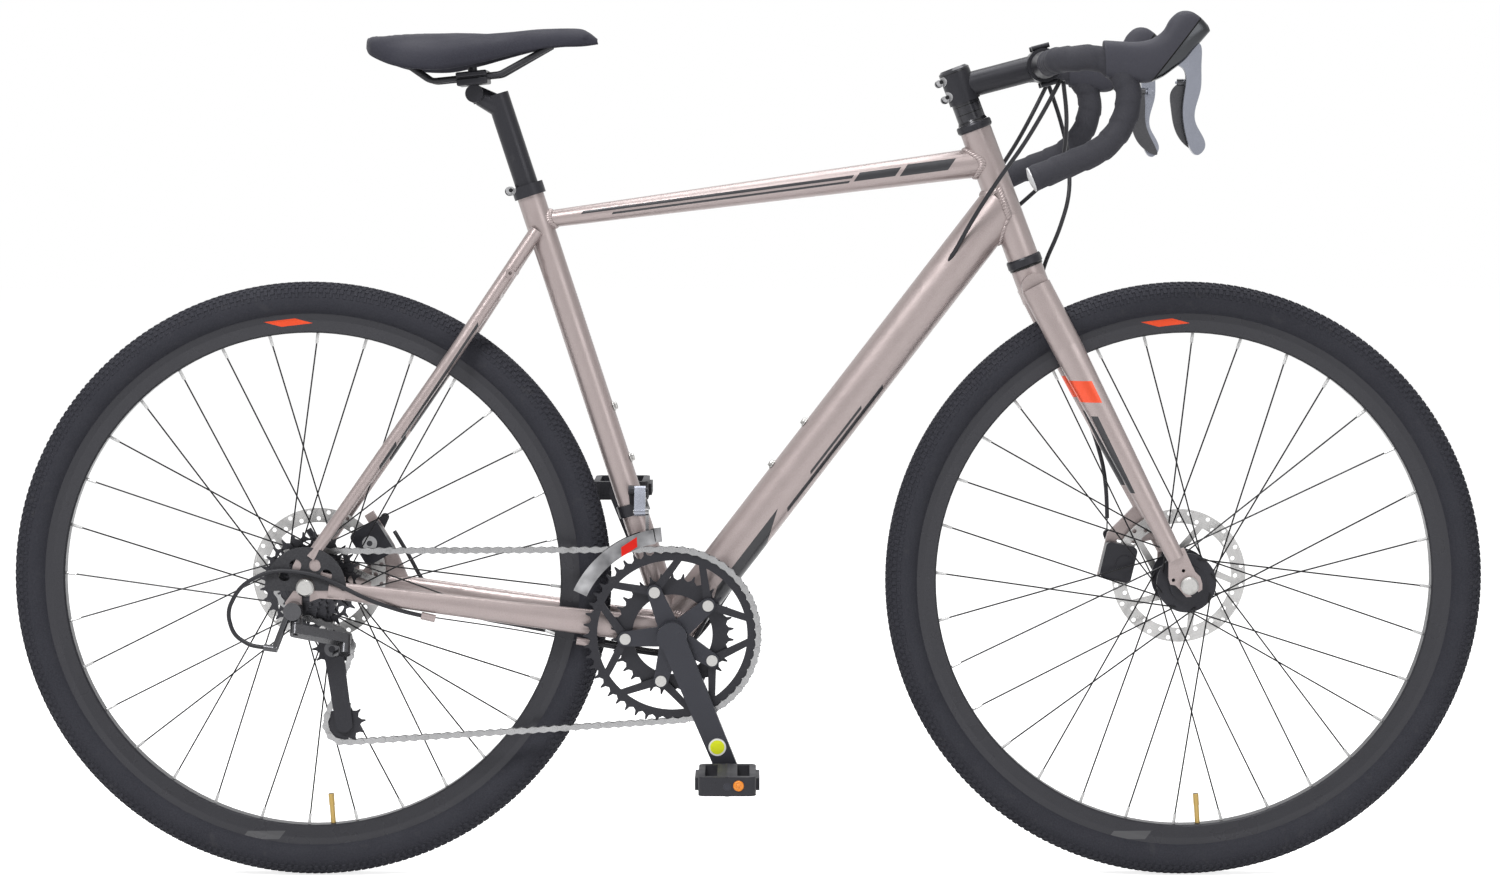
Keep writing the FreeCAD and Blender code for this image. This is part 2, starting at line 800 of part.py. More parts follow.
def frame():
    """Welded tubes, each mitred to the tube that carries it, with dropouts and bosses."""
    head_solid = rod("head_solid", HEAD_LOW, HEAD_HIGH, d.head_tube_od / 2)
    head_bore = rod("head_bore", HEAD_LOW, HEAD_HIGH, d.head_tube_bore / 2)
    head_tube = cut("head_tube", head_solid, head_bore)
    seat_solid = rod("seat_solid", BB, SEAT_TOP, d.seat_tube_od / 2)
    seat_bore = rod("seat_bore", BB, SEAT_TOP, d.post_od / 2 + d.running_gap)
    half_shell = d.bb_shell_width / 2
    shell_solid = cross_rod("shell_solid", BB, -half_shell, half_shell, d.bb_shell_od / 2)
    shell_bore = cross_rod("shell_bore", BB, -half_shell, half_shell, d.bb_shell_bore / 2)
    bb_shell = cut("bb_shell", shell_solid, shell_bore)
    seat_tube = cut("seat_tube", seat_solid, seat_bore, shell_solid)

    top_rear = seat(d.seat_tube_length - d.top_tube_seat_drop)
    top_front = steer(head_high - d.top_tube_head_drop)
    top_oval = oval_tube("top_oval", [
        (top_rear, d.top_tube_rear_size, d.top_tube_rear_size),
        (top_front, d.top_tube_front_size, d.top_tube_front_size),
    ], d.tube_wall)
    top_tube = cut("top_tube", top_oval, head_solid, seat_solid)
    down_front = steer(head_low + d.down_tube_head_rise)
    down_oval = oval_tube("down_oval", [
        (BB, d.down_tube_width, d.down_tube_height),
        (down_front, d.down_tube_width, d.down_tube_height),
    ], d.tube_wall)
    ports = [pipe(route, d.housing_od / 2 + d.clear_gap) for route in tunnel_routes()]
    port_tool = feature("cable_ports", Part.makeCompound(ports))
    down_tube = cut("down_tube", down_oval, head_solid, shell_solid, seat_solid, port_tool)

    chainstay = oval_tube("chainstay_oval", [
        (at(BB, x=-10, y=-25, z=2), d.seat_stay_od, d.seat_stay_od * 2),
        (at(BB, x=-82, y=-32, z=11), d.seat_stay_od - 3, d.seat_stay_od * 1.95),
        (at(BB, x=-190, y=-45, z=26), d.seat_stay_od - 1, d.seat_stay_od * 1.7),
        (at(REAR, x=26, y=-(rear_face + 3), z=-3), d.seat_stay_od - 2, d.seat_stay_od + 4),
    ], d.tube_wall, plug=0.82)
    stay_top = seat(d.seat_tube_length - 54)
    stay_low = at(REAR, x=6, y=-(rear_face + 3), z=34)
    stay_bend = stay_top + (stay_low - stay_top) * 0.36
    stay_bend.y = -39
    seatstay = oval_tube("seatstay_oval", [
        (at(stay_top, x=-5, y=-15), d.seat_stay_od, d.seat_stay_od),
        (stay_bend, d.seat_stay_od, d.seat_stay_od),
        (stay_low, d.seat_stay_od - 2, d.seat_stay_od - 2),
    ], d.tube_wall, plug=0.9)
    right_dropout, left_dropout = rear_dropouts()
    right_chainstay = cut("right_chainstay", chainstay, shell_solid, right_dropout)
    right_seatstay = cut("right_seatstay", seatstay, seat_solid, right_dropout)
    left_chain_oval, left_seat_oval = mirrored("left_chain_oval", chainstay), mirrored("left_seat_oval", seatstay)
    left_chainstay = cut("left_chainstay", left_chain_oval, shell_solid, left_dropout)
    left_seatstay = cut("left_seatstay", left_seat_oval, seat_solid, left_dropout)

    bridge_spot = stay_top + (stay_low - stay_top) * 0.2
    bridge_bar = cross_rod("bridge_bar", bridge_spot, -31, 31, d.stay_bridge_od / 2)
    bridge = cut("stay_bridge", bridge_bar, right_seatstay, left_seatstay)
    eyelets = rack_eyelets(stay_top, stay_low, right_seatstay, left_seatstay)
    tab = rear_disc_tab(left_chainstay, left_dropout)
    stops = cable_stops(right_chainstay)
    return sub_part("frame", head_tube, seat_tube, bb_shell, top_tube, down_tube, right_chainstay,
                    left_chainstay, right_seatstay, left_seatstay, right_dropout, left_dropout,
                    bridge, tab, stops, *eyelets)


HANGER = Vector(-13.6, 0, -26.6)
HANGER_BORE = 5.2
RACK_EYELET = Vector(-13, 0, 14)
EYELET_FACE = 39.5
EYELET_DEPTH = 6.5


def slot_loop(points, half):
    """Close an outline with a slot for the axle: the loop ends at the slot's walls."""
    return points + [(half, 0), (0, half, 0, 0), (-half, 0, 0, 0)]


def rear_dropouts():
    """The two rear dropout plates. The right one carries the derailleur hanger."""
    half = d.axle_od / 2 + d.running_gap
    thick = d.dropout_thickness
    right = plate("right_dropout", [slot_loop([
        (-half, -15), (-6, -37), (-22, -37), (-24, -18), (-14, -4), (-15, 24), (-4, 46), (12, 46),
        (20, 17), (46, 11), (46, -15), (16, -13), (half, -17),
    ], half)], thick, at(REAR, y=-rear_face), [(HANGER.x, HANGER.z, HANGER_BORE)])
    left = plate("left_dropout", [slot_loop([
        (-half, -15), (-13, -8), (-20, 8), (-18, 22), (-4, 46), (12, 46),
        (20, 17), (46, 11), (46, -15), (16, -13), (half, -17),
    ], half)], thick, at(REAR, y=rear_face + thick), [(RACK_EYELET.x, RACK_EYELET.z, d.eyelet_bore / 2)])
    return right, left


def rack_eyelets(stay_top, stay_low, right_stay, left_stay):
    """A threaded boss for a rack on the outer side of each seat stay."""
    bosses = []
    for side, stay, word in ((RIGHT, right_stay, "right"), (LEFT, left_stay, "left")):
        spot = stay_top + (stay_low - stay_top) * 0.13
        root, face = side * (EYELET_FACE - EYELET_DEPTH), side * EYELET_FACE
        boss = cross_rod(word + "_boss", spot, root, face, 5.5)
        bore = cross_rod(word + "_boss_bore", spot, root, face, d.eyelet_bore / 2)
        bosses.append(cut(word + "_rack_eyelet", boss, bore))
        foot = cross_rod(word + "_boss_foot", spot, root - side * 2, root, 5.5)
        bosses.append(cut(word + "_eyelet_foot", foot, stay))
    return bosses


def rear_disc_tab(left_stay, left_dropout):
    """The plate on the left chainstay that the rear brake bolts to."""
    y_low = float(rear_rotor_line) + 7
    outline = [
        at(REAR, x=44, z=-4), at(REAR, x=108, z=-10), REAR_BRAKE.at(94, -16), REAR_BRAKE.at(94, 32),
        REAR_BRAKE.at(82, 32), REAR_BRAKE.at(82, -12),
    ]
    wire = Part.makePolygon([Vector(p.x, y_low, p.z) for p in outline + outline[:1]])
    tab = feature("rear_tab_plate", Part.Face(wire).extrude(Vector(0, 7, 0)))
    return cut("rear_disc_tab", tab, left_stay, left_dropout)


def cable_stops(right_stay):
    """Two slotted stops under the right chainstay, where the gear cable's housing ends."""
    solids = []
    for start, end in STOP_LINES:
        solids.append(rod("stop_body", Vector(*start), Vector(*end), 4.5))
    block = fuse("stop_blocks", *solids)
    wire = rod("stop_bore", Vector(*STOP_LINES[1][1]), Vector(*STOP_LINES[0][0]), d.housing_od / 2 + d.running_gap)
    return cut("cable_stops", block, wire, right_stay)


class Brake:
    """Where a disc brake caliper sits: round its hub, at an angle, on a rotor."""

    def __init__(self, hub_centre, rotor_line, angle):
        self.hub_centre = hub_centre
        self.line = float(rotor_line)
        self.out = polar(1, angle)
        self.along = polar(1, angle + 90)

    def at(self, radius, along, y=0):
        """A point at a distance from the hub and a distance along the caliper."""
        spot = self.hub_centre + self.out * float(radius) + self.along * float(along)
        return Vector(spot.x, self.line + float(y), spot.z)


FRONT_BRAKE = Brake(FRONT, front_rotor_line, 167)
REAR_BRAKE = Brake(REAR, rear_rotor_line, 31)

# Cable routes, in order from the handlebar. Points are chosen along the real route.

GEAR_ROUTE = [
    (358, -84, 940), (340, -80, 905), (318, -66, 866), (290, -50, 826), (262, -33, 781), (236, -18, 731),
    (196, -9, 672), (140, -7, 596), (80, -8, 514), (22, -9, 436), (-22, -10, 366), (-52, -11, 304),
    (-70, -14, 272), (-94, -20, 265), (-126, -27, 270), (-158, -33, 277), (-186, -35, 282),
]
BRAKE_ROUTE = [
    (360, -92, 938), (366, -78, 900), (368, -40, 858), (362, 0, 836), (340, 33, 812), (304, 42, 780),
    (266, 34, 742), (232, 15, 696), (190, 7, 640), (136, 8, 566), (78, 8, 486), (24, 9, 410), (-18, 10, 346),
    (-52, 12, 292), (-78, 17, 266), (-112, 26, 263), (-160, 34, 272), (-214, 39, 281), (-268, 45, 291),
    (-322, 54, 299), (-364, 67, 312), (-392, 77.5, 338), (-410, 81.5, 372), (-428, 82.2, 402),
]
SHIFT_ROUTE = [
    (358, 84, 940), (342, 80, 908), (322, 68, 872), (298, 54, 836), (272, 38, 797), (246, 21, 752),
    (208, 2, 694), (152, 1, 616), (92, 1, 534), (34, 0, 456), (-10, -1, 386), (-44, -1, 318), (-62, -3, 284),
    (-84, -10, 264), (-112, -14, 268),
]


def from_rear(*offsets):
    """Points given by their distances from the rear axle's middle."""
    return [at(REAR, x=x, y=y, z=z) for x, y, z in offsets]


REAR_STOP = from_rear((149, -58, -39), (133, -60, -35))
STOP_LINES = [[(-186, -35, 282), (-202.1, -36.15, 284.9)], REAR_STOP]
GEAR_WIRE = [(-186.2, -35.02, 282.04), (-276, -47, 300.5), *from_rear((133.2, -59.98, -35.05))]
GEAR_LOOP = from_rear(
    (133, -60, -35), (111, -62.75, -29.5), (75, -80, -15), (15, -80, 16), (-37, -80, 22), (-75, -80, 3),
    (-91, -80, -28), (-83, -82, -55), (-63, -86.5, -66.5), (-47, -88, -68.5),
)
FRONT_BRAKE_ROUTE = [
    (360, 92, 938), (372, 84, 902), (382, 62, 856), (382, 46, 806), (368, 40, 762), (352, 44, 726), (346, 58, 690),
    (356, 66, 650), (376, 68, 606), (398, 69, 562), (416, 68, 520), (427, 68, 482), (431, 68, 450), (432, 68, 419),
]


def tunnel_routes():
    """The paths of the three housings that run inside the down tube."""
    return [rounded_path([Vector(*p) for p in route], cord_radius)
            for route in (GEAR_ROUTE, BRAKE_ROUTE, SHIFT_ROUTE)]


frame()


def bottom_bracket():
    """A cartridge with its two threaded cups."""
    half = d.bb_shell_width / 2
    inner = d.spindle_od / 2 + d.running_gap
    bore = d.bb_shell_bore / 2
    return sub_part("bottom_bracket", turned("cartridge", [
        (inner, -half - 3), (19.5, -half - 3), (19.5, -half), (bore, -half), (bore, half), (19.5, half),
        (19.5, half + 3), (inner, half + 3),
    ], BB))


bottom_bracket()


def headset_cups():
    """Two pressed cups, each with a bearing for the steerer."""
    bore = d.head_tube_bore / 2
    outer = d.cup_od / 2
    inner = d.steerer_od / 2 + d.running_gap
    race = inner + 4.5
    skirt = bore - 1.6
    floor = 1.2
    upper_origin, lower_origin = HEAD_HIGH, HEAD_LOW
    upper = turned("upper_cup", [
        (skirt, -12), (bore, -12), (bore, 0), (outer - 1.5, 0), (outer, 2), (outer, d.upper_cup_height - 2),
        (outer - 1, d.upper_cup_height), (race, d.upper_cup_height), (race, floor), (skirt, floor),
    ], upper_origin, STEER_UP)
    lower = turned("lower_cup", [
        (skirt, 12), (bore, 12), (bore, 0), (outer - 1, 0), (outer, -2),
        (outer, d.clear_gap + 1 - d.lower_cup_height), (outer - 1, d.clear_gap - d.lower_cup_height),
        (race, d.clear_gap - d.lower_cup_height), (race, -floor), (skirt, -floor),
    ], lower_origin, STEER_UP)
    upper_bearing = ring("upper_bearing", inner, race, floor, 8, upper_origin, STEER_UP)
    lower_bearing = ring("lower_bearing", inner, race, -9, -floor, lower_origin, STEER_UP)
    return sub_part("headset_cups", upper, lower, upper_bearing, lower_bearing)


headset_cups()


# Fork, stem and headset spacers

stem_level = head_high + d.stem_rise
steerer_top = stem_level + d.stem_barrel_height / 2 - 2
STEM_CENTRE = steer(stem_level)
stem_turn = math.radians(float(d.stem_slope))
STEM_FORWARD = Vector(math.cos(stem_turn), 0, math.sin(stem_turn))
BAR_CENTRE = STEM_CENTRE + STEM_FORWARD * float(d.stem_length)


def fork():
    """A steerer and crown, two tapered legs, dropouts with eyelets and the disc brake tab."""
    crown_low = crown_level - d.crown_height
    crown_tube = rod("crown_tube", steer(crown_low), steer(crown_level), d.crown_od / 2)
    shoulder_level = crown_level - 23
    shoulders = cross_rod("crown_shoulders", steer(shoulder_level), -34, 34, 16)
    crown_raw = fuse("crown_raw", crown_tube, shoulders)
    steerer_core = rod("steerer_core", steer(crown_low), steer(steerer_top), d.steerer_od / 2)
    crown = cut("fork_crown", crown_raw, steerer_core)
    steerer_bore = rod("steerer_bore", steer(crown_low), steer(steerer_top), d.steerer_bore / 2)
    steerer = cut("steerer", steerer_core, steerer_bore)
    leg_top = at(steer(shoulder_level), y=-32)
    leg_low = at(FRONT, x=-15, y=-(front_face + 3), z=31)
    stations = []
    for share, y, growth in ((0, -32, 0), (0.22, -42, 0.02), (0.62, -50, 0.5), (1, leg_low.y, 1)):
        spot = leg_top + (leg_low - leg_top) * share
        spot.y = y
        width = d.leg_top_width + (d.leg_bottom_width - d.leg_top_width) * growth
        height = d.leg_top_height + (d.leg_bottom_height - d.leg_top_height) * growth
        stations.append((spot, width, height))
    leg = oval_tube("leg_oval", stations, d.tube_wall)
    other_leg = mirrored("other_leg_oval", leg)
    right_dropout = fork_dropout()
    left_dropout = mirrored("left_fork_dropout", right_dropout)
    right_leg = cut("right_leg", leg, crown_raw, right_dropout)
    left_leg = cut("left_leg", other_leg, crown_raw, left_dropout)
    tab = front_disc_tab(left_leg, left_dropout)
    return sub_part("fork", steerer, crown, right_leg, left_leg, right_dropout, left_dropout, tab)


FORK_EYELETS = [Vector(-6.7, 0, 17), Vector(-18.2, 0, 6)]


def fork_dropout():
    """A forged lug with an open slot for the axle and two threaded eyelets."""
    radius = float(d.axle_od) / 2 + float(d.running_gap)
    heading, side = Vector(0.55, 0, -0.835), Vector(0.835, 0, 0.55)
    front_wall, rear_wall = side * radius, side * -radius
    front_end, rear_end = front_wall + heading * 13, rear_wall + heading * 13
    over = heading * -radius
    loop = [
        (rear_end.x, rear_end.z), (-3, -14), (-10, -6), (-16, 0), (-22, 1), (-24, 8), (-24, 26),
        (-23, 38), (-6, 44), (3, 24), (7, 16), (13, 10), (15.5, 2), (15.5, -5), (front_end.x, front_end.z),
        (front_wall.x, front_wall.z), (over.x, over.z, 0, 0), (rear_wall.x, rear_wall.z, 0, 0),
    ]
    circles = [(spot.x, spot.z, d.eyelet_bore / 2) for spot in FORK_EYELETS]
    return plate("right_fork_dropout", [loop], d.dropout_thickness, at(FRONT, y=-front_face), circles)


def front_disc_tab(left_leg, left_dropout):
    """The plate behind the left leg that the front brake bolts to."""
    y_low = float(front_rotor_line) + 7
    outline = [
        at(FRONT, x=-44, z=92), at(FRONT, x=-22, z=44), FRONT_BRAKE.at(60, -25), FRONT_BRAKE.at(81, -25),
        FRONT_BRAKE.at(81, 22), FRONT_BRAKE.at(94, 22), FRONT_BRAKE.at(94, -30),
    ]
    wire = Part.makePolygon([Vector(p.x, y_low, p.z) for p in outline + outline[:1]])
    tab = feature("front_tab_plate", Part.Face(wire).extrude(Vector(0, 7, 0)))
    return cut("front_disc_tab", tab, left_leg, left_dropout)


fork()


def headset_spacers():
    """The crown race, the cover and spacers above the head tube, and the top cap with its bolt."""
    inner = d.steerer_od / 2
    race = ring("crown_race", inner, 20, 0, d.crown_race_height, steer(crown_level), STEER_UP)
    barrel_low = stem_level - d.stem_barrel_height / 2
    start = head_high + d.upper_cup_height + d.clear_gap
    cover_height = 4
    cover = turned("bearing_cover", [
        (inner, 0), (d.cup_od / 2 - 3, 0), (d.spacer_od / 2, cover_height), (inner, cover_height),
    ], steer(start), STEER_UP)
    pieces = [race, cover]
    level = start + cover_height
    room = float(barrel_low) - float(level)
    count = max(1, round(room / float(d.spacer_height)))
    for number in range(count):
        low, high = room * number / count, room * (number + 1) / count
        pieces.append(ring(f"spacer{number}", inner, d.spacer_od / 2, low, high, steer(level), STEER_UP))
    top = steer(stem_level + d.stem_barrel_height / 2)
    pieces.append(turned("top_cap", [
        (0, -12), (3, -12), (3, 0), (d.stem_barrel_od / 2, 0), (d.stem_barrel_od / 2, 3), (15, 6), (5, 6),
        (5, 4), (0, 4),
    ], top, STEER_UP))
    return sub_part("headset_spacers", *pieces)


headset_spacers()


def stem():
    """The stem body with its pinch bolts, and the faceplate that holds the bar with four bolts."""
    half_barrel = d.stem_barrel_height / 2
    barrel = rod("stem_barrel", steer(stem_level - half_barrel), steer(stem_level + half_barrel),
                 d.stem_barrel_od / 2)
    extension = rod("stem_extension", STEM_CENTRE, BAR_CENTRE, d.stem_od / 2)
    half_width = d.bar_clamp_width / 2
    clamp_radius = d.bar_clamp_od / 2 + d.stem_clamp_wall
    clamp = cross_rod("stem_clamp", BAR_CENTRE, -half_width, half_width, clamp_radius)
    body = fuse("stem_body", barrel, extension, clamp)
    steerer_hole = rod("stem_steerer_hole", steer(stem_level - half_barrel - 1),
                       steer(stem_level + half_barrel + 1), d.steerer_od / 2)
    bar_hole = cross_rod("stem_bar_hole", BAR_CENTRE, -half_width - 1, half_width + 1, d.bar_clamp_od / 2)
    across = Vector(-STEM_FORWARD.z, 0, STEM_FORWARD.x)
    front_block = doc.addObject("Part::Box", "stem_front_block")
    block = float(clamp_radius) * 2 + 20
    bind(front_block, Width=d.bar_clamp_width + 4)
    front_block.Length, front_block.Height = block, block
    turn = Rotation(Vector(0, 1, 0), -float(d.stem_slope))
    corner = BAR_CENTRE - across * (block / 2) + STEM_FORWARD * 0.6
    front_block.Placement = Placement(at(corner, y=-half_width - 2), turn)
    gap = rod("stem_pinch_gap", STEM_CENTRE, STEM_CENTRE - STEM_FORWARD * 40, 1.2)
    face_bolts = []
    for number, (level, y) in enumerate(((-1, -15), (-1, 15), (1, -15), (1, 15))):
        spot = BAR_CENTRE + across * (level * (float(clamp_radius) + 1.8))
        spot.y = y
        face_bolts.append(rod(f"face_bolt{number}", spot - STEM_FORWARD * 9, spot + STEM_FORWARD * 12, 3))
    rear = cut("stem_rear", body, steerer_hole, bar_hole, front_block, gap, *face_bolts)
    bolts = []
    for number, level in enumerate((-10, 10)):
        spot = STEM_CENTRE + STEER_UP * level - STEM_FORWARD * (float(d.stem_barrel_od) / 2 + 3.2)
        ear = cross_rod(f"pinch_ear{number}", spot, -9, 9, 4.6)
        screw = cross_rod(f"pinch_screw{number}", spot, -12, 12, 2.5)
        bolts.append(cut(f"pinch_lug{number}", ear, screw, barrel))
        bolts.append(screw)
    sub_part("stem", rear, *bolts)

    face_solid = cross_rod("face_solid", BAR_CENTRE, -half_width, half_width, clamp_radius)
    face_hole = cross_rod("face_hole", BAR_CENTRE, -half_width - 1, half_width + 1, d.bar_clamp_od / 2)
    rear_block = doc.addObject("Part::Box", "stem_rear_block")
    bind(rear_block, Width=d.bar_clamp_width + 4)
    rear_block.Length, rear_block.Height = block, block
    corner = BAR_CENTRE - across * (block / 2) + STEM_FORWARD * (0.6 - block)
    rear_block.Placement = Placement(at(corner, y=-half_width - 2), turn)
    faceplate = cut("faceplate", face_solid, face_hole, rear_block, *face_bolts)
    sub_part("stem_faceplate", faceplate, *face_bolts)


stem()


# Handlebar, tape, hoods and levers

half_bar = d.bar_width / 2
bar_shape_side = [
    at(BAR_CENTRE, y=half_bar),
    at(BAR_CENTRE, x=d.bar_reach, y=half_bar + 1, z=6),
    at(BAR_CENTRE, x=d.bar_reach - 20, y=half_bar + 3, z=-(d.bar_drop - 40)),
    at(BAR_CENTRE, x=-29, y=half_bar + 6, z=-d.bar_drop),
]


def bar_bend(number, shorter, half_turn):
    """The bend radius at each corner of the bar, counted from either end."""
    bends = [d.bar_drop_radius, d.bar_front_radius, d.bar_corner_radius]
    return float(bends[min(number, 7 - number) - 1])


def tape_bend(number, shorter, half_turn):
    bends = [d.bar_corner_radius, d.bar_front_radius, d.bar_drop_radius]
    return float(bends[number - 1])


TAPE_GAP = 0.1


def handlebar():
    """The drop bar, thicker at the stem, with a plug in each end, and the tape wound on it."""
    flipped = [Vector(p.x, -p.y, p.z) for p in bar_shape_side]
    path = rounded_path(list(reversed(bar_shape_side)) + flipped, bar_bend)
    outer = pipe(path, d.bar_od / 2)
    inner = pipe(path, d.bar_od / 2 - d.bar_wall)
    tube = feature("bar_tube", outer.cut(inner))
    core = d.bar_od / 2
    thick = d.bar_clamp_od / 2
    sleeve = turned("bar_sleeve", [
        (core, -68), (thick, -36), (thick, 36), (core, 68),
    ], BAR_CENTRE)
    plugs = []
    for word, ends in (("left", bar_shape_side), ("right", flipped)):
        heading = unit(ends[-1] - ends[-2])
        plugs.append(turned(word + "_plug", [
            (0, -12), (core - d.bar_wall, -12), (core - d.bar_wall, 0), (d.tape_od / 2 - 1, 0),
            (d.tape_od / 2 - 1, 2), (6, 4), (0, 4),
        ], ends[-1], heading))
    sub_part("handlebar", tube, sleeve, *plugs)
    tapes, spaces = [], []
    for word, ends in (("left", bar_shape_side), ("right", flipped)):
        side = math.copysign(1, ends[0].y)
        start = Vector(BAR_CENTRE.x, side * float(d.tape_start), BAR_CENTRE.z)
        run = rounded_path([start, *ends], tape_bend)
        space = pipe(run, d.tape_od / 2)
        spaces.append(feature(word + "_tape_space", space))
        tapes.append(feature(word + "_tape", space.cut(pipe(run, d.bar_od / 2 + TAPE_GAP))))
    sub_part("bar_tape", *tapes)
    return fuse("tape_space", *spaces)


TAPE_SPACE = handlebar()
LEVER_PIN = at(BAR_CENTRE, x=134, z=5)
hood_line = half_bar + 1


def hoods():
    """The rubber-covered lever bodies, each slotted for its lever, with the pin that the lever turns on."""
    stations = [
        (at(BAR_CENTRE, x=52, z=2), d.hood_width - 2, d.hood_width + 7),
        (at(BAR_CENTRE, x=86, z=0), d.hood_width, d.hood_width + 16),
        (at(BAR_CENTRE, x=110, z=2), d.hood_width, d.hood_width + 19),
        (at(BAR_CENTRE, x=135, z=21), d.hood_width, d.hood_width + 33),
        (at(BAR_CENTRE, x=156, z=28), d.hood_width - 6, d.hood_width + 11),
        (at(BAR_CENTRE, x=167, z=32), d.hood_width - 18, d.hood_width - 12),
    ]
    loft = oval_tube("hood_form", stations, direction=Vector(1, 0, 0))
    slot = doc.addObject("Part::Box", "hood_slot")
    bind(slot, Width=d.lever_thickness + 2 * d.clear_gap)
    slot.Length, slot.Height = 70, 72
    slot.Placement = Placement(at(LEVER_PIN, x=-16, y=-(d.lever_thickness / 2 + d.clear_gap), z=-58), Rotation())
    pieces = []
    cheek = d.hood_width / 2 - 2
    for word, side in (("right", RIGHT), ("left", LEFT)):
        placed = doc.addObject("Part::Compound", word + "_hood_form")
        placed.Links = [cut(word + "_hood_slotted", loft, slot)]
        placed.Placement = Placement(Vector(0, side * float(hood_line), 0), Rotation())
        pin = cross_rod(word + "_lever_pin", LEVER_PIN, side * hood_line - cheek, side * hood_line + cheek,
                        d.lever_pin_od / 2)
        pieces.append(cut(word + "_hood", placed, TAPE_SPACE, pin))
        pieces.append(pin)
    sub_part("brake_hoods", *pieces)


hoods()


def lever_outline():
    """The brake lever seen from the side, from its pivot to its tip."""
    points = [
        at(LEVER_PIN, x=-8, z=6), at(LEVER_PIN, x=4, z=10), at(LEVER_PIN, x=20, z=13), at(LEVER_PIN, x=23, z=-8),
        at(LEVER_PIN, x=22, z=-40), at(LEVER_PIN, x=17, z=-74), at(LEVER_PIN, x=27, z=-104),
        at(LEVER_PIN, x=21, z=-110), at(LEVER_PIN, x=6, z=-86), at(LEVER_PIN, x=5, z=-40),
        at(LEVER_PIN, x=2, z=-14), at(LEVER_PIN, x=-9, z=-6),
    ]
    curve = Part.BSplineCurve()
    curve.interpolate(points, PeriodicFlag=True)
    return Part.Wire(curve.toShape())


PADDLE_DROP = 30


def levers():
    """Each brake lever with the lug and pin that carry its shift paddle, and the paddle itself."""
    thick = float(d.lever_thickness)
    paddle_gap = float(d.clear_gap) + 0.5
    for word, side in (("right", RIGHT), ("left", LEFT)):
        middle = side * float(hood_line)
        inboard = -side
        low = Vector(0, middle - thick / 2, 0)
        wire = lever_outline()
        wire.translate(low)
        blade = Part.Face(wire).extrude(Vector(0, thick, 0))
        bore = Part.makeCylinder(float(d.lever_pin_od) / 2 + float(d.running_gap), thick + 2,
                                 at(LEVER_PIN, y=middle - thick / 2 - 1), Y_AXIS)
        pin_y = middle + inboard * (thick / 2 + paddle_gap + 4)
        pin_spot = Vector(LEVER_PIN.x, pin_y, LEVER_PIN.z - PADDLE_DROP)
        pin = Part.makeCylinder(1.5, 24, at(pin_spot, x=-4), Vector(1, 0, 0))
        lug_start = min(middle, pin_y + inboard * 4)
        lug = Part.makeBox(5, abs(middle - pin_y) + 4, 8, Vector(LEVER_PIN.x + 13, lug_start, pin_spot.z - 4))
        shape = blade.multiFuse([lug]).cut(bore).fuse(pin)
        sub_part(word + "_brake_lever", feature(word + "_lever_shape", shape))
        sub_part(word + "_shift_paddle", feature(word + "_paddle_shape", paddle(pin_spot, inboard)))


def paddle(pin_spot, inboard):
    """The shift paddle: an eye on the lever's pin and a blade that hangs behind the lever."""
    eye = Part.makeCylinder(4, 12, at(pin_spot, x=-2), Vector(1, 0, 0))
    bore = Part.makeCylinder(1.5 + float(d.running_gap), 14, at(pin_spot, x=-3), Vector(1, 0, 0))
    points = [
        at(pin_spot, x=9, z=0), at(pin_spot, x=10, z=-18), at(pin_spot, x=14, z=-50), at(pin_spot, x=24, z=-78),
        at(pin_spot, x=14, z=-74), at(pin_spot, x=-4, z=-52), at(pin_spot, x=-9, z=-26), at(pin_spot, x=-2, z=-2),
    ]
    curve = Part.BSplineCurve()
    curve.interpolate(points, PeriodicFlag=True)
    thick = float(d.paddle_thickness)
    wire = Part.Wire(curve.toShape())
    wire.translate(Vector(0, -thick / 2, 0))
    blade = Part.Face(wire).extrude(Vector(0, thick, 0))
    return eye.fuse(blade).cut(bore)


levers()


# Seat

POST_TOP = seat(d.seat_tube_length + d.post_above_collar)
CLAMP = at(POST_TOP, x=-27.5, z=19.5)
rail_turn = math.radians(5.9)
RAIL_FORWARD = Vector(math.cos(rail_turn), 0, math.sin(rail_turn))
RAIL_UP = Vector(-RAIL_FORWARD.z, 0, RAIL_FORWARD.x)


def seat_collar():
    """The ring that clamps the seat post, split at the back, with its bolt."""
    height = d.collar_height
    base = seat(d.seat_tube_length - height + 2)
    band = ring("collar_band", d.seat_tube_od / 2, d.collar_od / 2, 0, height - 2, base, SEAT_UP)
    lip = ring("collar_lip", d.post_od / 2 + d.clear_gap, d.collar_od / 2, 0, 2, SEAT_TOP, SEAT_UP)
    spot = seat(d.seat_tube_length - height / 2 + 1) - Vector(float(d.collar_od) / 2 + 3, 0, 0)
    ear = cross_rod("collar_ear", spot, -9, 9, 5.5)
    bolt = cross_rod("collar_bolt", spot, -12.5, 12.5, 2.6)
    solid = rod("collar_core", base, seat(d.seat_tube_length + 2), d.collar_od / 2)
    lug = cut("collar_lug", ear, bolt, solid)
    return sub_part("seat_collar", fuse("collar_ring", band, lip), lug, bolt)


seat_collar()


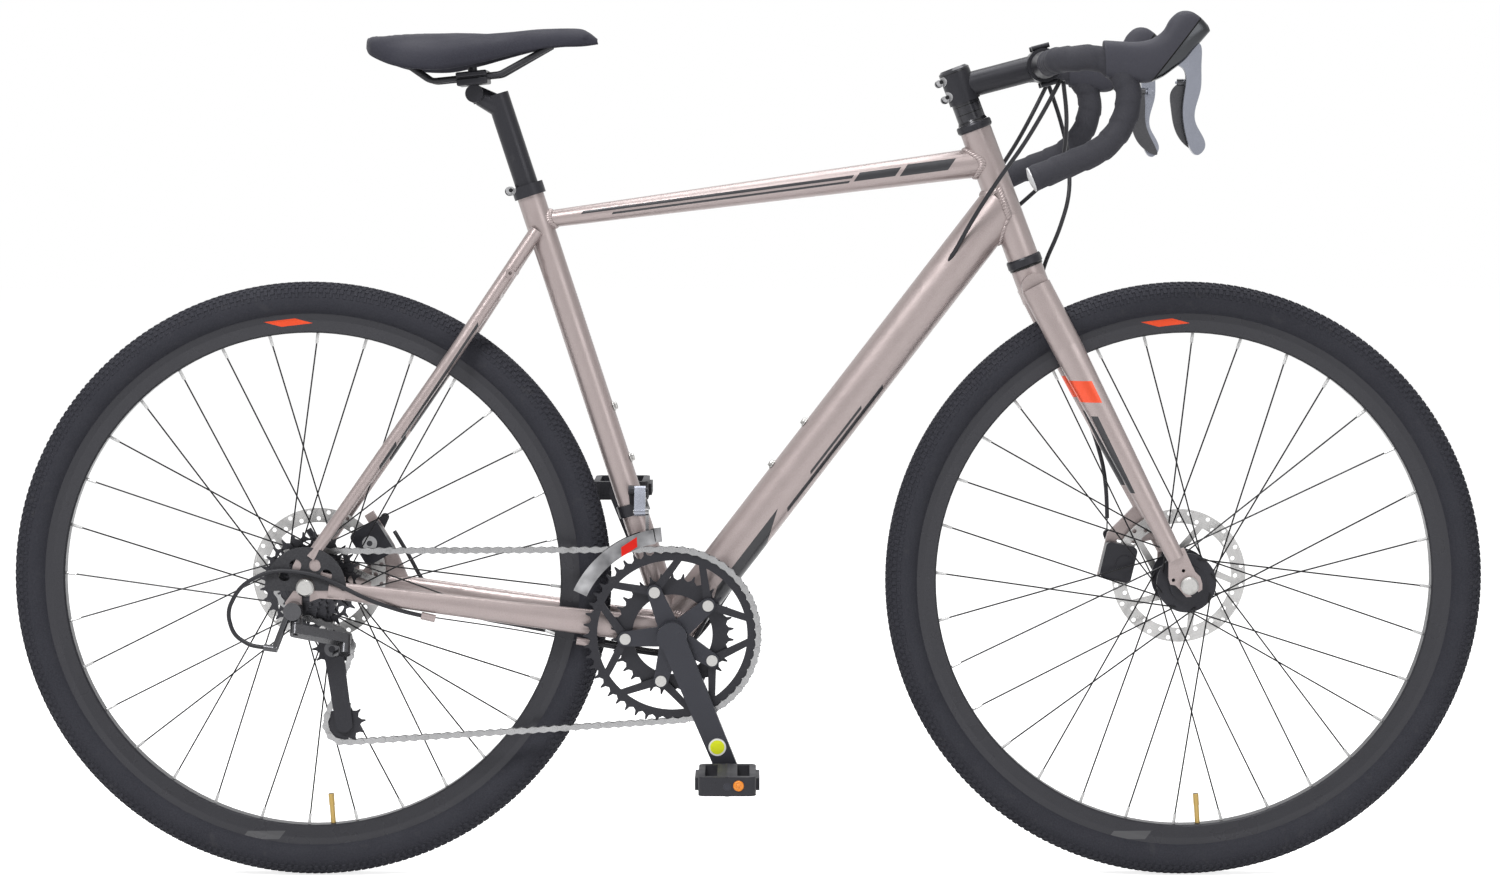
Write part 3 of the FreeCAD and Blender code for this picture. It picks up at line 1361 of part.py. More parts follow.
def seatpost():
    """A hollow post with a forged head that carries the saddle clamp."""
    outer = rod("post_outer", seat(d.seat_tube_length - d.post_below_collar), POST_TOP, d.post_od / 2)
    inner = rod("post_inner", seat(d.seat_tube_length - d.post_below_collar), POST_TOP - SEAT_UP * 8,
                d.post_od / 2 - d.post_wall)
    neck = rod("post_neck", POST_TOP - SEAT_UP * 16, CLAMP - RAIL_UP * 19, d.post_od / 2 - 0.5, 10.5)
    cradle = cross_rod("post_cradle", CLAMP - RAIL_UP * 19, -15, 15, 10.5)
    bolt_hole = rod("post_bolt_hole", CLAMP - RAIL_UP * 32, CLAMP, 3.6)
    body = cut("post_body", fuse("post_form", outer, neck, cradle), inner, bolt_hole, clamp_lower_space())
    return sub_part("seatpost", body)


def clamp_lower_space():
    """The flat seat for the lower clamp, cut into the post's head."""
    box = Part.makeBox(60, 80, 40, Vector(-30, -40, 0))
    return feature("clamp_seat", box, stand_rail(CLAMP - RAIL_UP * 9))


def stand_rail(origin):
    """A placement level with the saddle rails."""
    return Placement(origin, Rotation(Vector(0, 1, 0), -math.degrees(rail_turn)))


def saddle_clamp():
    """Two grooved plates that grip the rails, and the bolt through them."""
    half = d.rail_spacing / 2
    grooves = []
    for side in (RIGHT, LEFT):
        line = at(CLAMP, y=side * half)
        grooves.append(rod("rail_groove", line - RAIL_FORWARD * 40, line + RAIL_FORWARD * 40,
                           d.rail_od / 2 + d.running_gap))
    width = float(d.rail_spacing) + 13
    plates = []
    for word, low, high in (("lower", -9, -0.5), ("upper", 0.5, 7)):
        box = Part.makeBox(36, width, high - low, Vector(-18, -width / 2, low))
        box = box.makeFillet(2, [edge for edge in box.Edges if edge.Length > 6.6])
        plates.append(cut(word + "_clamp", feature(word + "_clamp_plate", box, stand_rail(CLAMP)), *grooves))
    bolt = rod("clamp_bolt", CLAMP - RAIL_UP * 31, CLAMP + RAIL_UP * 10, 3)
    head = rod("clamp_bolt_head", CLAMP + RAIL_UP * 7, CLAMP + RAIL_UP * 12, 5.5)
    screw = fuse("clamp_screw", bolt, head)
    plates = [cut(f"clamp_plate{k}", item, screw) for k, item in enumerate(plates)]
    return sub_part("saddle_clamp", *plates, screw)


seatpost()
saddle_clamp()

SADDLE_REAR = CLAMP.x - 122.5
SADDLE_SECTIONS = [
    # share of the length from the rear, share of half the width, top, edge and roof heights
    (0.0, 0.42, 38, 30, 33), (0.035, 0.72, 45, 20, 33), (0.16, 1.0, 51, 10, 33), (0.33, 0.93, 51, 8, 34),
    (0.48, 0.62, 52, 16, 36), (0.62, 0.40, 55, 26, 38), (0.78, 0.29, 58, 34, 42), (0.93, 0.235, 57, 36, 42),
    (1.0, 0.12, 46, 38, 41),
]


def saddle_section(share, width_share, top, edge, roof, kind):
    """One cross-section of the saddle: its padded cover or the shell under it."""
    x = SADDLE_REAR + float(d.saddle_length) * share
    half = float(d.saddle_width) / 2 * width_share
    base = CLAMP.z

    def point(y, z):
        return Vector(x, y, base + z)

    inner = half * 0.72
    if kind == "shell":
        low, high = roof - 3.3, roof - 0.3
        wide = inner * 0.9
        corners = [point(-wide, low), point(wide, low), point(wide, high), point(-wide, high), point(-wide, low)]
        return Part.makePolygon(corners)
    mid = edge + (top - edge) * 0.55
    bulge = half * 1.0
    brow = half * 0.62
    brow_z = top - (top - mid) * 0.28
    edges = [
        Part.LineSegment(point(-inner, roof), point(inner, roof)).toShape(),
        Part.LineSegment(point(inner, roof), point(half * 0.86, edge)).toShape(),
        Part.LineSegment(point(half * 0.86, edge), point(half * 0.95, edge)).toShape(),
        Part.Arc(point(half * 0.95, edge), point(bulge, mid), point(brow, brow_z)).toShape(),
        Part.Arc(point(brow, brow_z), point(0, top), point(-brow, brow_z)).toShape(),
        Part.Arc(point(-brow, brow_z), point(-bulge, mid), point(-half * 0.95, edge)).toShape(),
        Part.LineSegment(point(-half * 0.95, edge), point(-half * 0.86, edge)).toShape(),
        Part.LineSegment(point(-half * 0.86, edge), point(-inner, roof)).toShape(),
    ]
    return Part.Wire(edges)


def saddle():
    """The padded cover, the shell under it and the two steel rails."""
    cover = Part.makeLoft([saddle_section(*s, "cover") for s in SADDLE_SECTIONS], True, True)
    sub_part("saddle_cover", feature("cover_form", cover))
    inside = SADDLE_SECTIONS[1:-1]
    shell = Part.makeLoft([saddle_section(*s, "shell") for s in inside], True, True)
    rails, sockets = [], []
    half = float(d.rail_spacing) / 2
    for word, side in (("right", RIGHT), ("left", LEFT)):
        points = [
            at(CLAMP, x=-92, y=side * (half + 8), z=26),
            at(CLAMP - RAIL_FORWARD * 48, y=side * half),
            at(CLAMP + RAIL_FORWARD * 33, y=side * half),
            at(CLAMP, x=92, y=side * 12, z=36.5),
        ]
        path = rounded_path(points, lambda number, shorter, half_turn: 18)
        rails.append(feature(word + "_rail", pipe(path, d.rail_od / 2)))
        sockets.append(pipe(path, float(d.rail_od) / 2))
    shell = shell.cut(cover).cut(sockets[0]).cut(sockets[1])
    sub_part("saddle_shell", feature("shell_form", shell))
    sub_part("saddle_rails", *rails)


saddle()


# Drivetrain

def pitch_radius(teeth):
    return float(d.chain_pitch) / (2 * math.sin(math.pi / float(teeth)))


SEAT_GAP = 0.14


def sprocket_wire(teeth, phase, y, tip=3.4):
    """The toothed outline of a sprocket about Y. The phase, in radians, is the angle of one roller."""
    radius = pitch_radius(teeth)
    half_seat = math.radians(30)
    seat_radius = (float(d.roller_od) / 2 + SEAT_GAP) / math.cos(half_seat)
    step = 2 * math.pi / teeth
    half_crest = 0.75 / radius
    corners = []
    for number in range(teeth):
        angle = phase + step * number
        for turn in (60, 0, -60):
            inward = angle + math.pi + math.radians(turn)
            x = radius * math.cos(angle) + seat_radius * math.cos(inward)
            z = radius * math.sin(angle) + seat_radius * math.sin(inward)
            corners.append(Vector(x, y, z))
        for crest in (angle + step / 2 - half_crest, angle + step / 2 + half_crest):
            corners.append(Vector((radius + tip) * math.cos(crest), y, (radius + tip) * math.sin(crest)))
    return Part.makePolygon(corners + corners[:1])


def circle_wire(radius, y, centre=Vector()):
    return Part.Wire(Part.makeCircle(float(radius), Vector(centre.x, y, centre.z), Y_AXIS))


def disc_with_holes(outline, holes, thickness):
    """A flat plate across Y from an outline and hole wires."""
    face = Part.Face([outline, *holes], "Part::FaceMakerBullseye")
    return face.extrude(Vector(0, float(thickness), 0))


ring_line = -d.ring_line
cog_line = -(d.smallest_cog_line - CHAIN_COG * d.cog_spacing)


class Chain:
    """The chain's closed path round the ring, the cog and the two pulleys, seen from the left side."""

    def __init__(self):
        self.guide = at(REAR, x=28, z=-75)
        low, high = -40.0, 60.0
        for _ in range(60):
            middle = (low + high) / 2
            if self.slack(middle) > 0:
                low = middle
            else:
                high = middle
        self.cage_angle = (low + high) / 2
        self.build(self.cage_angle)

    def wheels(self, cage_angle):
        """Centre, pitch radius and side of travel of each toothed wheel, in the order that the chain meets them."""
        hang = polar(d.cage_length, -90 + cage_angle)
        self.tension = self.guide + hang
        return [
            (BB, pitch_radius(d.big_ring_teeth), 1), (REAR, pitch_radius(COG_TEETH[CHAIN_COG]), 1),
            (self.guide, pitch_radius(d.pulley_teeth), -1), (self.tension, pitch_radius(d.pulley_teeth), 1),
        ]

    def tangent(self, first, second):
        """The straight run from one wheel to the next, for travel from the ring's top to the rear."""
        (a, ra, sa), (b, rb, sb) = first, second
        run = b - a
        length = math.hypot(run.x, run.z)
        heading = math.atan2(run.z, run.x)
        lean = math.asin((sa * ra - sb * rb) / length)
        angle = heading - math.pi / 2 + lean
        normal = Vector(math.cos(angle), 0, math.sin(angle))
        return a + normal * (sa * ra), b + normal * (sb * rb)

    def spans(self, cage_angle):
        wheels = self.wheels(cage_angle)
        count = len(wheels)
        runs = [self.tangent(wheels[k], wheels[(k + 1) % count]) for k in range(count)]
        return wheels, runs

    def walk(self, cage_angle):
        """Roller centres a pitch apart, from the start of the upper run, with the wheel each one sits on."""
        wheels, runs = self.spans(cage_angle)
        pitch = float(d.chain_pitch)
        lines = [float(ring_line)] + [float(cog_line)] * 3
        rollers = []
        offset = 0.0
        for number in range(len(wheels)):
            start, end = runs[number]
            direction = unit(end - start)
            length = (end - start).Length
            while offset <= length:
                share = offset / length
                line = lines[number] + (lines[(number + 1) % 4] - lines[number]) * share
                rollers.append((start + direction * offset, None, line))
                offset += pitch
            wheel, radius, side = wheels[(number + 1) % len(wheels)]
            last = rollers[-1][0]
            exit_point = runs[(number + 1) % len(wheels)][0]
            spoke = end - wheel
            first_angle = math.atan2(spoke.z, spoke.x)
            short = self.reach(last, wheel, radius, first_angle, side)
            leave = exit_point - wheel
            sweep = (side * (math.atan2(leave.z, leave.x) - first_angle)) % (2 * math.pi)
            step = 2 * math.asin(pitch / (2 * radius))
            turn = short
            while turn <= sweep:
                angle = first_angle + side * turn
                spot = wheel + Vector(radius * math.cos(angle), 0, radius * math.sin(angle))
                rollers.append((spot, (number + 1) % 4, lines[(number + 1) % 4]))
                turn += step
            last = rollers[-1][0]
            line = unit(runs[(number + 1) % 4][1] - exit_point)
            gap = last - exit_point
            along = gap.dot(line)
            offset = along + math.sqrt(max(along * along - gap.dot(gap) + pitch * pitch, 0))
        return rollers, offset

    def reach(self, last, wheel, radius, first_angle, side):
        """The angle past the tangent point where the next roller lands on the wheel."""
        low, high = 0.0, 1.5
        for _ in range(50):
            middle = (low + high) / 2
            angle = first_angle + side * middle
            spot = wheel + Vector(radius * math.cos(angle), 0, radius * math.sin(angle))
            if (spot - last).Length < float(d.chain_pitch):
                low = middle
            else:
                high = middle
        return (low + high) / 2

    def slack(self, cage_angle):
        """How much longer the loop is than the chain, as a length along the path."""
        rollers, offset = self.walk(cage_angle)
        return (len(rollers) - CHAIN_LINKS) * float(d.chain_pitch) - offset

    def build(self, cage_angle):
        self.rollers = self.walk(cage_angle)[0][:CHAIN_LINKS]
        self.set = self.wheels(cage_angle)

    def phase(self, wheel_number):
        """The angle of a roller that sits on a wheel."""
        centre = self.set[wheel_number][0]
        spot = next(point for point, wheel, _ in self.rollers if wheel == wheel_number)
        return math.atan2(spot.z - centre.z, spot.x - centre.x)


CHAIN = Chain()
print("rollers", len(CHAIN.rollers), "cage angle", round(CHAIN.cage_angle, 2))


def along_link(here, there):
    """A placement with local X from one roller to the next and local Y across the bike."""
    x = unit(there - here)
    return Placement((here + there) * 0.5, Rotation(x, Y_AXIS, x.cross(Y_AXIS), "XYZ"))


def chain_plate(y_low, y_high, waist, end):
    """A figure-eight side plate as a short polygon."""
    half = float(d.chain_pitch) / 2
    slant = end * 0.72
    quarter = [(0, waist), (half, end), (half + slant, slant), (half + end, 0)]
    lower = [(x, -z) for x, z in reversed(quarter[1:-1])]
    right = quarter + lower
    left = [(-x, -z) for x, z in right]
    corners = [Vector(x, y_low, z) for x, z in right + left]
    return Part.Face(Part.makePolygon(corners + corners[:1])).extrude(Vector(0, y_high - y_low, 0))


def prism(sides, radius, centre, y_low, y_high):
    corners = [at(centre + polar(radius, 360 * k / sides), y=y_low) for k in range(sides)]
    return Part.Face(Part.makePolygon(corners + corners[:1])).extrude(Vector(0, y_high - y_low, 0))


def chain():
    """Every link of the chain: rollers between inner plates, outer plates and rivet heads."""
    half = float(d.chain_inner_width) / 2
    inner_face = half + float(d.chain_plate)
    outer_low = inner_face + float(d.chain_play)
    outer_high = outer_low + float(d.chain_plate)
    middle = float(d.chain_pitch) / 2
    radius = float(d.roller_od) / 2
    inner, outer = [], []
    for side in (RIGHT, LEFT):
        inner.append(chain_plate(*sorted((side * half, side * inner_face)), 2.6, 4.1))
        outer.append(chain_plate(*sorted((side * outer_low, side * outer_high)), 2.4, 4.0))
    for end in (-middle, middle):
        inner.append(prism(9, radius, Vector(end, 0, 0), -half, half))
        outer.append(prism(6, 1.9, Vector(end, 0, 0), -outer_high - 0.3, -outer_high))
    spots = [Vector(point.x, y, point.z) for point, _, y in CHAIN.rollers]
    solids = []
    for number, here in enumerate(spots):
        place = along_link(here, spots[(number + 1) % len(spots)])
        for shape in (outer if number % 2 else inner):
            copy = shape.copy()
            copy.Placement = place
            solids.append(copy)
    return sub_part("chain", feature("chain_links", Part.makeCompound(solids)))


chain()


def crank_direction():
    return polar(1, d.crank_angle)


def crank_arm(name, side):
    """One crank arm with its boss, bored for the spindle and the pedal."""
    end = BB + crank_direction() * (float(d.crank_length) * -side)
    inner, outer = 59, 59 + float(d.crank_thickness)
    half = float(d.crank_width) / 2
    arm = flat_bar(BB, end, half + 1.5, half - 0.5, side * inner, side * outer)
    boss = Part.makeCylinder(17.5, outer - 51, at(BB, y=side * 51), Y_AXIS * side)
    bore = Part.makeCylinder(float(d.spindle_od) / 2, 16, at(BB, y=side * 51), Y_AXIS * side)
    return arm.fuse(boss).cut(bore), end


PEDAL_STUB = 12
PEDAL_AXLE = 4.5


def pedal_spindle(end, side):
    """The pedal's spindle, screwed into the crank arm."""
    inner = 59
    outer = inner + float(d.crank_thickness)
    thread = Part.makeCylinder(7, outer + PEDAL_STUB - inner, at(end, y=side * inner), Y_AXIS * side)
    long = PEDAL_STUB + float(d.pedal_width) - 4
    shaft = Part.makeCylinder(PEDAL_AXLE, long, at(end, y=side * outer), Y_AXIS * side)
    return thread.fuse(shaft)


def cranks():
    """The right arm with its five-arm spider, the left arm and the spindle that joins them."""
    spider_low, spider_high = float(d.ring_line) + float(d.tooth_thickness) / 2, 56
    for word, side in (("right", RIGHT), ("left", LEFT)):
        arm, end = crank_arm(word, side)
        if side == RIGHT:
            arms = [flat_bar(BB, BB + polar(d.bolt_circle_radius, angle), 13, 8.5, -spider_low, -spider_high)
                    for angle in BOLT_ANGLES]
            arm = arm.multiFuse(arms)
            arm = arm.cut(Part.makeCylinder(float(d.spindle_od) / 2, 30, at(BB, y=-67), Y_AXIS))
            holes = [Part.makeCylinder(BOLT_BORE, 20, at(BB + polar(d.bolt_circle_radius, angle), y=-66), Y_AXIS)
                     for angle in BOLT_ANGLES]
            arm = arm.cut(Part.makeCompound(holes))
        spindle = pedal_spindle(end, side)
        pieces = [feature(word + "_arm", arm.cut(spindle)), feature(word + "_pedal_spindle", spindle)]
        if side == LEFT:
            pieces.append(cross_rod("crank_spindle", BB, -67, 67, d.spindle_od / 2))
        sub_part(word + "_crank", *pieces)
        pedal(word + "_pedal", end, side)


BOLT_ANGLES = [40 + 72 * k for k in range(5)]
BOLT_BORE = 4.05


def pedal(name, end, side):
    """A cage pedal on a barrel, with a reflector in front and behind."""
    start = 59 + float(d.crank_thickness) + PEDAL_STUB + float(d.clear_gap)
    wide, long, high = float(d.pedal_width) - 4, float(d.pedal_length), float(d.pedal_height)
    y_low = start if side == LEFT else -start - wide
    box = Part.makeBox(long, wide, high, Vector(end.x - long / 2, y_low, end.z - high / 2))
    box = box.makeFillet(9, [edge for edge in box.Edges if abs(edge.tangentAt(edge.FirstParameter).z) > 0.9])
    window_x, window_y = 14, wide - 18
    windows = []
    for offset in (-1, 1):
        low = end.x + offset * 18.5 - window_x / 2
        windows.append(Part.makeBox(window_x, window_y, high + 2, Vector(low, y_low + 9, end.z - high / 2 - 1)))
    barrel = Part.makeCylinder(11.4, wide, Vector(end.x, y_low, end.z), Y_AXIS)
    bore = Part.makeCylinder(PEDAL_AXLE + float(d.running_gap), wide, Vector(end.x, y_low, end.z), Y_AXIS)
    body = box.cut(Part.makeCompound(windows)).fuse(barrel).cut(bore)
    pieces = [feature(name + "_body", body)]
    for offset in (-1, 1):
        low = end.x + (long / 2 if offset > 0 else -long / 2 - 4)
        reflector = Part.makeBox(4, wide - 34, high - 8, Vector(low, y_low + 17, end.z - high / 2 + 4))
        pieces.append(feature(f"{name}_reflector{offset + 1}", reflector))
    sub_part(name, *pieces)


cranks()


def chainrings():
    """The two toothed rings and the five bolts, with spacers, that hold them to the spider."""
    thick = float(d.tooth_thickness)
    half = thick / 2
    spots = [polar(d.bolt_circle_radius, angle) for angle in BOLT_ANGLES]
    y_outer = float(ring_line) - half
    phase = CHAIN.phase(0)
    rim_radius = 88
    outer = disc_with_holes(sprocket_wire(int(d.big_ring_teeth.value), phase, y_outer),
                            [circle_wire(rim_radius, y_outer)], thick)
    webs = []
    for angle in BOLT_ANGLES:
        spot = polar(d.bolt_circle_radius, angle)
        webs.append(Part.makeCylinder(9, thick, at(spot, y=y_outer), Y_AXIS))
        for turn in (-27, 27):
            webs.append(flat_bar(spot, polar(rim_radius + 2, angle + turn), 5, 4, y_outer, y_outer + thick))
    outer = outer.multiFuse(webs)
    holes = [Part.makeCylinder(BOLT_BORE, thick, at(spot, y=y_outer), Y_AXIS) for spot in spots]
    outer = outer.cut(Part.makeCompound(holes))
    sub_part("outer_chainring", feature("outer_ring_shape", outer, Placement(BB, Rotation())))
    y_inner = float(ring_line) + float(d.ring_spacing) - half
    bolt_holes = [circle_wire(BOLT_BORE, y_inner, spot) for spot in spots]
    inner = disc_with_holes(sprocket_wire(int(d.small_ring_teeth.value), 0.0, y_inner),
                            [circle_wire(47, y_inner), *bolt_holes], thick)
    sub_part("inner_chainring", feature("inner_ring_shape", inner, Placement(BB, Rotation())))
    bolts = []
    for spot in spots:
        centre = BB + spot
        head = Part.makeCylinder(6.5, 2, at(centre, y=-58), Y_AXIS)
        shank = Part.makeCylinder(BOLT_BORE, 56 - 40, at(centre, y=-56), Y_AXIS)
        spacer = Part.makeCylinder(7.5, y_inner - (y_outer + thick), at(centre, y=y_outer + thick), Y_AXIS)
        nut = Part.makeCylinder(6.5, 1.5, at(centre, y=y_inner + thick), Y_AXIS)
        bolts.append(head.multiFuse([shank, spacer, nut]))
    sub_part("chainring_bolts", feature("ring_bolts", Part.makeCompound(bolts)))


chainrings()


def cassette():
    """Eight sprockets with spacers on a freehub body, held by a lock ring."""
    thick = float(d.tooth_thickness)
    half = thick / 2
    core = float(d.freehub_od) / 2
    pieces = []
    for number, teeth in enumerate(COG_TEETH):
        line = -(float(d.smallest_cog_line) - number * float(d.cog_spacing))
        phase = CHAIN.phase(1) if number == CHAIN_COG else 0.1 * number
        holes = [circle_wire(core, line - half)]
        root = pitch_radius(teeth) - float(d.roller_od) / 2
        if root - core > 22:
            middle, reach = (root + core) / 2 + 1, (root - core) / 2 - 4
            holes += [circle_wire(reach, line - half, polar(middle, 45 * k)) for k in range(8)]
        cog = disc_with_holes(sprocket_wire(teeth, phase, line - half), holes, thick)
        pieces.append(feature(f"cog{teeth}", cog, Placement(REAR, Rotation())))
        if number:
            gap_low = line - float(d.cog_spacing) + half
            pieces.append(ring(f"cog_spacer{number}", core, core + 2.4, gap_low, line - half, REAR))
    low = -float(d.smallest_cog_line) - half
    inner = d.axle_od / 2 + d.running_gap
    pieces.append(turned("freehub", [
        (inner, low - 2.5), (core - 1.5, low - 2.5), (core - 1.5, low), (core, low), (core, -25), (core + 3, -25),
        (core + 3, -23.4), (inner, -23.4),
    ], REAR))
    pieces.append(ring("lock_ring", core - 1.5, core + 1.6, low - 2.2, low, REAR))
    sub_part("cassette", *pieces)


cassette()


# Rear derailleur

def bar_between(start, end, start_radius, end_radius, axis, low, high, bores=()):
    """A bar with round ends whose flat faces are square to an axis."""
    run = end - start
    x = unit(run)
    base = Vector()
    tip = Vector(run.Length, 0, 0)
    spots = [(base if which == 0 else tip, radius) for which, radius in bores]
    shape = flat_bar(base, tip, start_radius, end_radius, low, high, spots)
    shape.Placement = Placement(start, Rotation(x, axis, x.cross(axis), "XYZ"))
    return shape


LINK_AXIS = unit(Vector(0, 0.56, 0.83))
HANGER_BOLT = REAR + HANGER
LINK_REAR = Vector(HANGER_BOLT.x + 3.6, -88, HANGER_BOLT.z - 22.4)
LINK_FRONT = LINK_REAR + Vector(55, 20.75, -14)
LINK_HALF = 6
LINK_PIN = 2.5
CAGE_PIN = 4


def rear_derailleur():
    """The knuckle on the hanger, the slanted link, the arm that carries the cage, the cage and its pulleys."""
    gap = float(d.running_gap)
    outer_face = -float(rear_face + d.dropout_thickness)
    bolt = Part.makeCylinder(HANGER_BORE - gap, -outer_face - 67.6, at(HANGER_BOLT, y=outer_face), Y_AXIS)
    barrel = Part.makeCylinder(10.5, 17, at(HANGER_BOLT, y=outer_face - 0.3 - 17), Y_AXIS)
    neck = Part.makeCylinder(HANGER_BORE - gap, 1, at(HANGER_BOLT, y=outer_face - 0.5), Y_AXIS)
    top = LINK_HALF + float(d.clear_gap)
    rear_lug = Part.makeCylinder(7, 8, LINK_REAR + LINK_AXIS * top, LINK_AXIS)
    rear_pin = Part.makeCylinder(LINK_PIN, 2 * top + 2, LINK_REAR - LINK_AXIS * (top + 1), LINK_AXIS)
    loop_end = Vector(*GEAR_LOOP[-1])
    heading = unit(loop_end - Vector(*GEAR_LOOP[-2]))
    ferrule = Part.makeCylinder(4, 16, loop_end, heading)
    arm_start = loop_end + heading * 13
    arm_end = at(HANGER_BOLT, x=-6.4, y=-82, z=-5.4)
    arm = Part.makeCylinder(4, (arm_end - arm_start).Length, arm_start, arm_end - arm_start)
    knuckle = barrel.multiFuse([bolt, neck, rear_lug, rear_pin, arm, ferrule])
    sub_part("rd_b_knuckle", feature("b_knuckle_shape", knuckle))

    bores = [(0, LINK_PIN + gap), (1, LINK_PIN + gap)]
    link = bar_between(LINK_REAR, LINK_FRONT, 6.5, 6.5, LINK_AXIS, -LINK_HALF, LINK_HALF, bores)
    sub_part("rd_outer_link", feature("rd_link_shape", link))

    guide = CHAIN.guide
    cage_face = -float(cog_line) + 5.8
    front_lug = Part.makeCylinder(7, 12, LINK_FRONT - LINK_AXIS * top, -LINK_AXIS)
    front_pin = Part.makeCylinder(LINK_PIN, 2 * top + 2, LINK_FRONT - LINK_AXIS * (top + 1), LINK_AXIS)
    hub_length = 10
    hub_body = Part.makeCylinder(9, hub_length, at(guide, y=-cage_face - 0.4 - hub_length), Y_AXIS)
    bridge_start = LINK_FRONT - LINK_AXIS * (top + 8)
    bridge_end = at(guide, x=2, y=-cage_face - 6, z=-7)
    bridge = Part.makeCylinder(3.8, (bridge_end - bridge_start).Length, bridge_start, bridge_end - bridge_start)
    bore = Part.makeCylinder(CAGE_PIN + gap, hub_length + 2, at(guide, y=-cage_face - hub_length - 1.4), Y_AXIS)
    knuckle = front_lug.multiFuse([hub_body, bridge]).cut(bore).fuse(front_pin)
    sub_part("rd_p_knuckle", feature("p_knuckle_shape", knuckle))
    cage(cage_face, hub_length)


def cage(cage_face, hub_length):
    """Two plates with the pulleys between them, hung on a pin in the arm."""
    guide, tension = CHAIN.guide, CHAIN.tension
    middle = float(cog_line)
    gap = float(d.running_gap)
    inside = 4.3
    plate_thickness = cage_face + middle - inside
    outer = flat_bar(guide, tension, 11.5, 10, -cage_face, -cage_face + plate_thickness)
    inner = flat_bar(guide, tension, 9, 9, middle + inside, middle + inside + plate_thickness)
    length = 2 * (inside + plate_thickness)
    bolts = [Part.makeCylinder(2.5, length, at(spot, y=-cage_face), Y_AXIS) for spot in (guide, tension)]
    pin = Part.makeCylinder(CAGE_PIN, hub_length, at(guide, y=-cage_face - hub_length), Y_AXIS)
    sub_part("rd_cage", feature("cage_shape", outer.multiFuse([inner, pin, *bolts])))
    teeth = int(d.pulley_teeth.value)
    for name, spot, wheel in (("guide_pulley", guide, 2), ("tension_pulley", tension, 3)):
        half = 1.1
        disc = disc_with_holes(sprocket_wire(teeth, CHAIN.phase(wheel), middle - half, 2.6),
                               [circle_wire(2.5 + gap, middle - half)], 2 * half)
        bush = Part.makeCylinder(5, 2 * inside - 0.4, Vector(0, middle - inside + 0.2, 0), Y_AXIS)
        bore = Part.makeCylinder(2.5 + gap, 2 * inside, Vector(0, middle - inside, 0), Y_AXIS)
        sub_part(name, feature(name + "_shape", disc.fuse(bush).cut(bore), Placement(spot, Rotation())))


rear_derailleur()


# Front derailleur

FD_PIVOT = at(seat(152), x=8.5, y=-26, z=24)
FD_DROP = Vector(0, -17, -24)
FD_PIN = 2.5


def front_derailleur():
    """The band on the seat tube, the swinging link and the cage round the chain."""
    gap = float(d.running_gap)
    clear = float(d.clear_gap)
    x_axis = Vector(1, 0, 0)
    link_low, link_high = -6, 7
    band = ring("fd_band", d.seat_tube_od / 2, d.seat_tube_od / 2 + 3, 145, 159, BB, SEAT_UP)
    spot = seat(152)
    core = Part.makeCylinder(float(d.seat_tube_od) / 2 + 1, 90, seat(110), SEAT_UP)
    lug_start = at(FD_PIVOT, x=link_low - clear - 7)
    lug = Part.makeCylinder(5.5, 7, lug_start, x_axis)
    strut_start = at(spot, y=-12)
    strut_end = at(lug_start, x=3.5)
    strut = Part.makeCylinder(3.4, (strut_end - strut_start).Length, strut_start, strut_end - strut_start)
    pin = Part.makeCylinder(FD_PIN, link_high - link_low + clear + 4, at(lug_start, x=6), x_axis)
    body = feature("fd_body", lug.multiFuse([strut, pin]).cut(core))
    sub_part("front_derailleur_clamp", fuse("fd_clamp_form", band, body))

    foot = FD_PIVOT + FD_DROP
    link = bar_between(FD_PIVOT, foot, 5, 5, x_axis, link_low, link_high, [(0, FD_PIN + gap), (1, FD_PIN + gap)])
    sub_part("front_derailleur_link", feature("fd_link_shape", link))

    inner_low, inner_high = -43.7, -42.5
    outer_low, outer_high = -56.6, -55.4
    cheek_x = foot.x + link_high + clear
    cheek = Part.makeBox(4, 5, 42, Vector(cheek_x, -44.8, foot.z - 36))
    eye = Part.makeCylinder(4.5, 4, Vector(cheek_x, foot.y, foot.z), x_axis)
    cage_pin = Part.makeCylinder(FD_PIN, link_high - link_low + clear + 1, at(foot, x=link_low - 1), x_axis)
    shapes = [
        sector(110, 127, 100, 155, outer_low, outer_high), sector(110, 127, 96, 155, inner_low, inner_high),
        sector(125.5, 127, 101, 107, outer_low, inner_high),
        Part.makeCylinder(2.5, inner_high - outer_low, BB + polar(118, 152, outer_low), Y_AXIS),
        cheek, eye, cage_pin,
    ]
    sub_part("front_derailleur_cage", feature("fd_cage_shape", shapes[0].multiFuse(shapes[1:])))


def sector(inner, outer, start, end, y_low, y_high):
    """A slice of a ring about the bottom bracket."""
    middle = (start + end) / 2

    def spot(radius, angle):
        return BB + polar(radius, angle, y_low)

    edges = [
        Part.Arc(spot(outer, start), spot(outer, middle), spot(outer, end)).toShape(),
        Part.LineSegment(spot(outer, end), spot(inner, end)).toShape(),
        Part.Arc(spot(inner, end), spot(inner, middle), spot(inner, start)).toShape(),
        Part.LineSegment(spot(inner, start), spot(outer, start)).toShape(),
    ]
    return Part.Face(Part.Wire(edges)).extrude(Vector(0, y_high - y_low, 0))


front_derailleur()


# Brakes

PISTON_RADIUS = 68
ARM_PIN = 4
ARM_LENGTH = 36


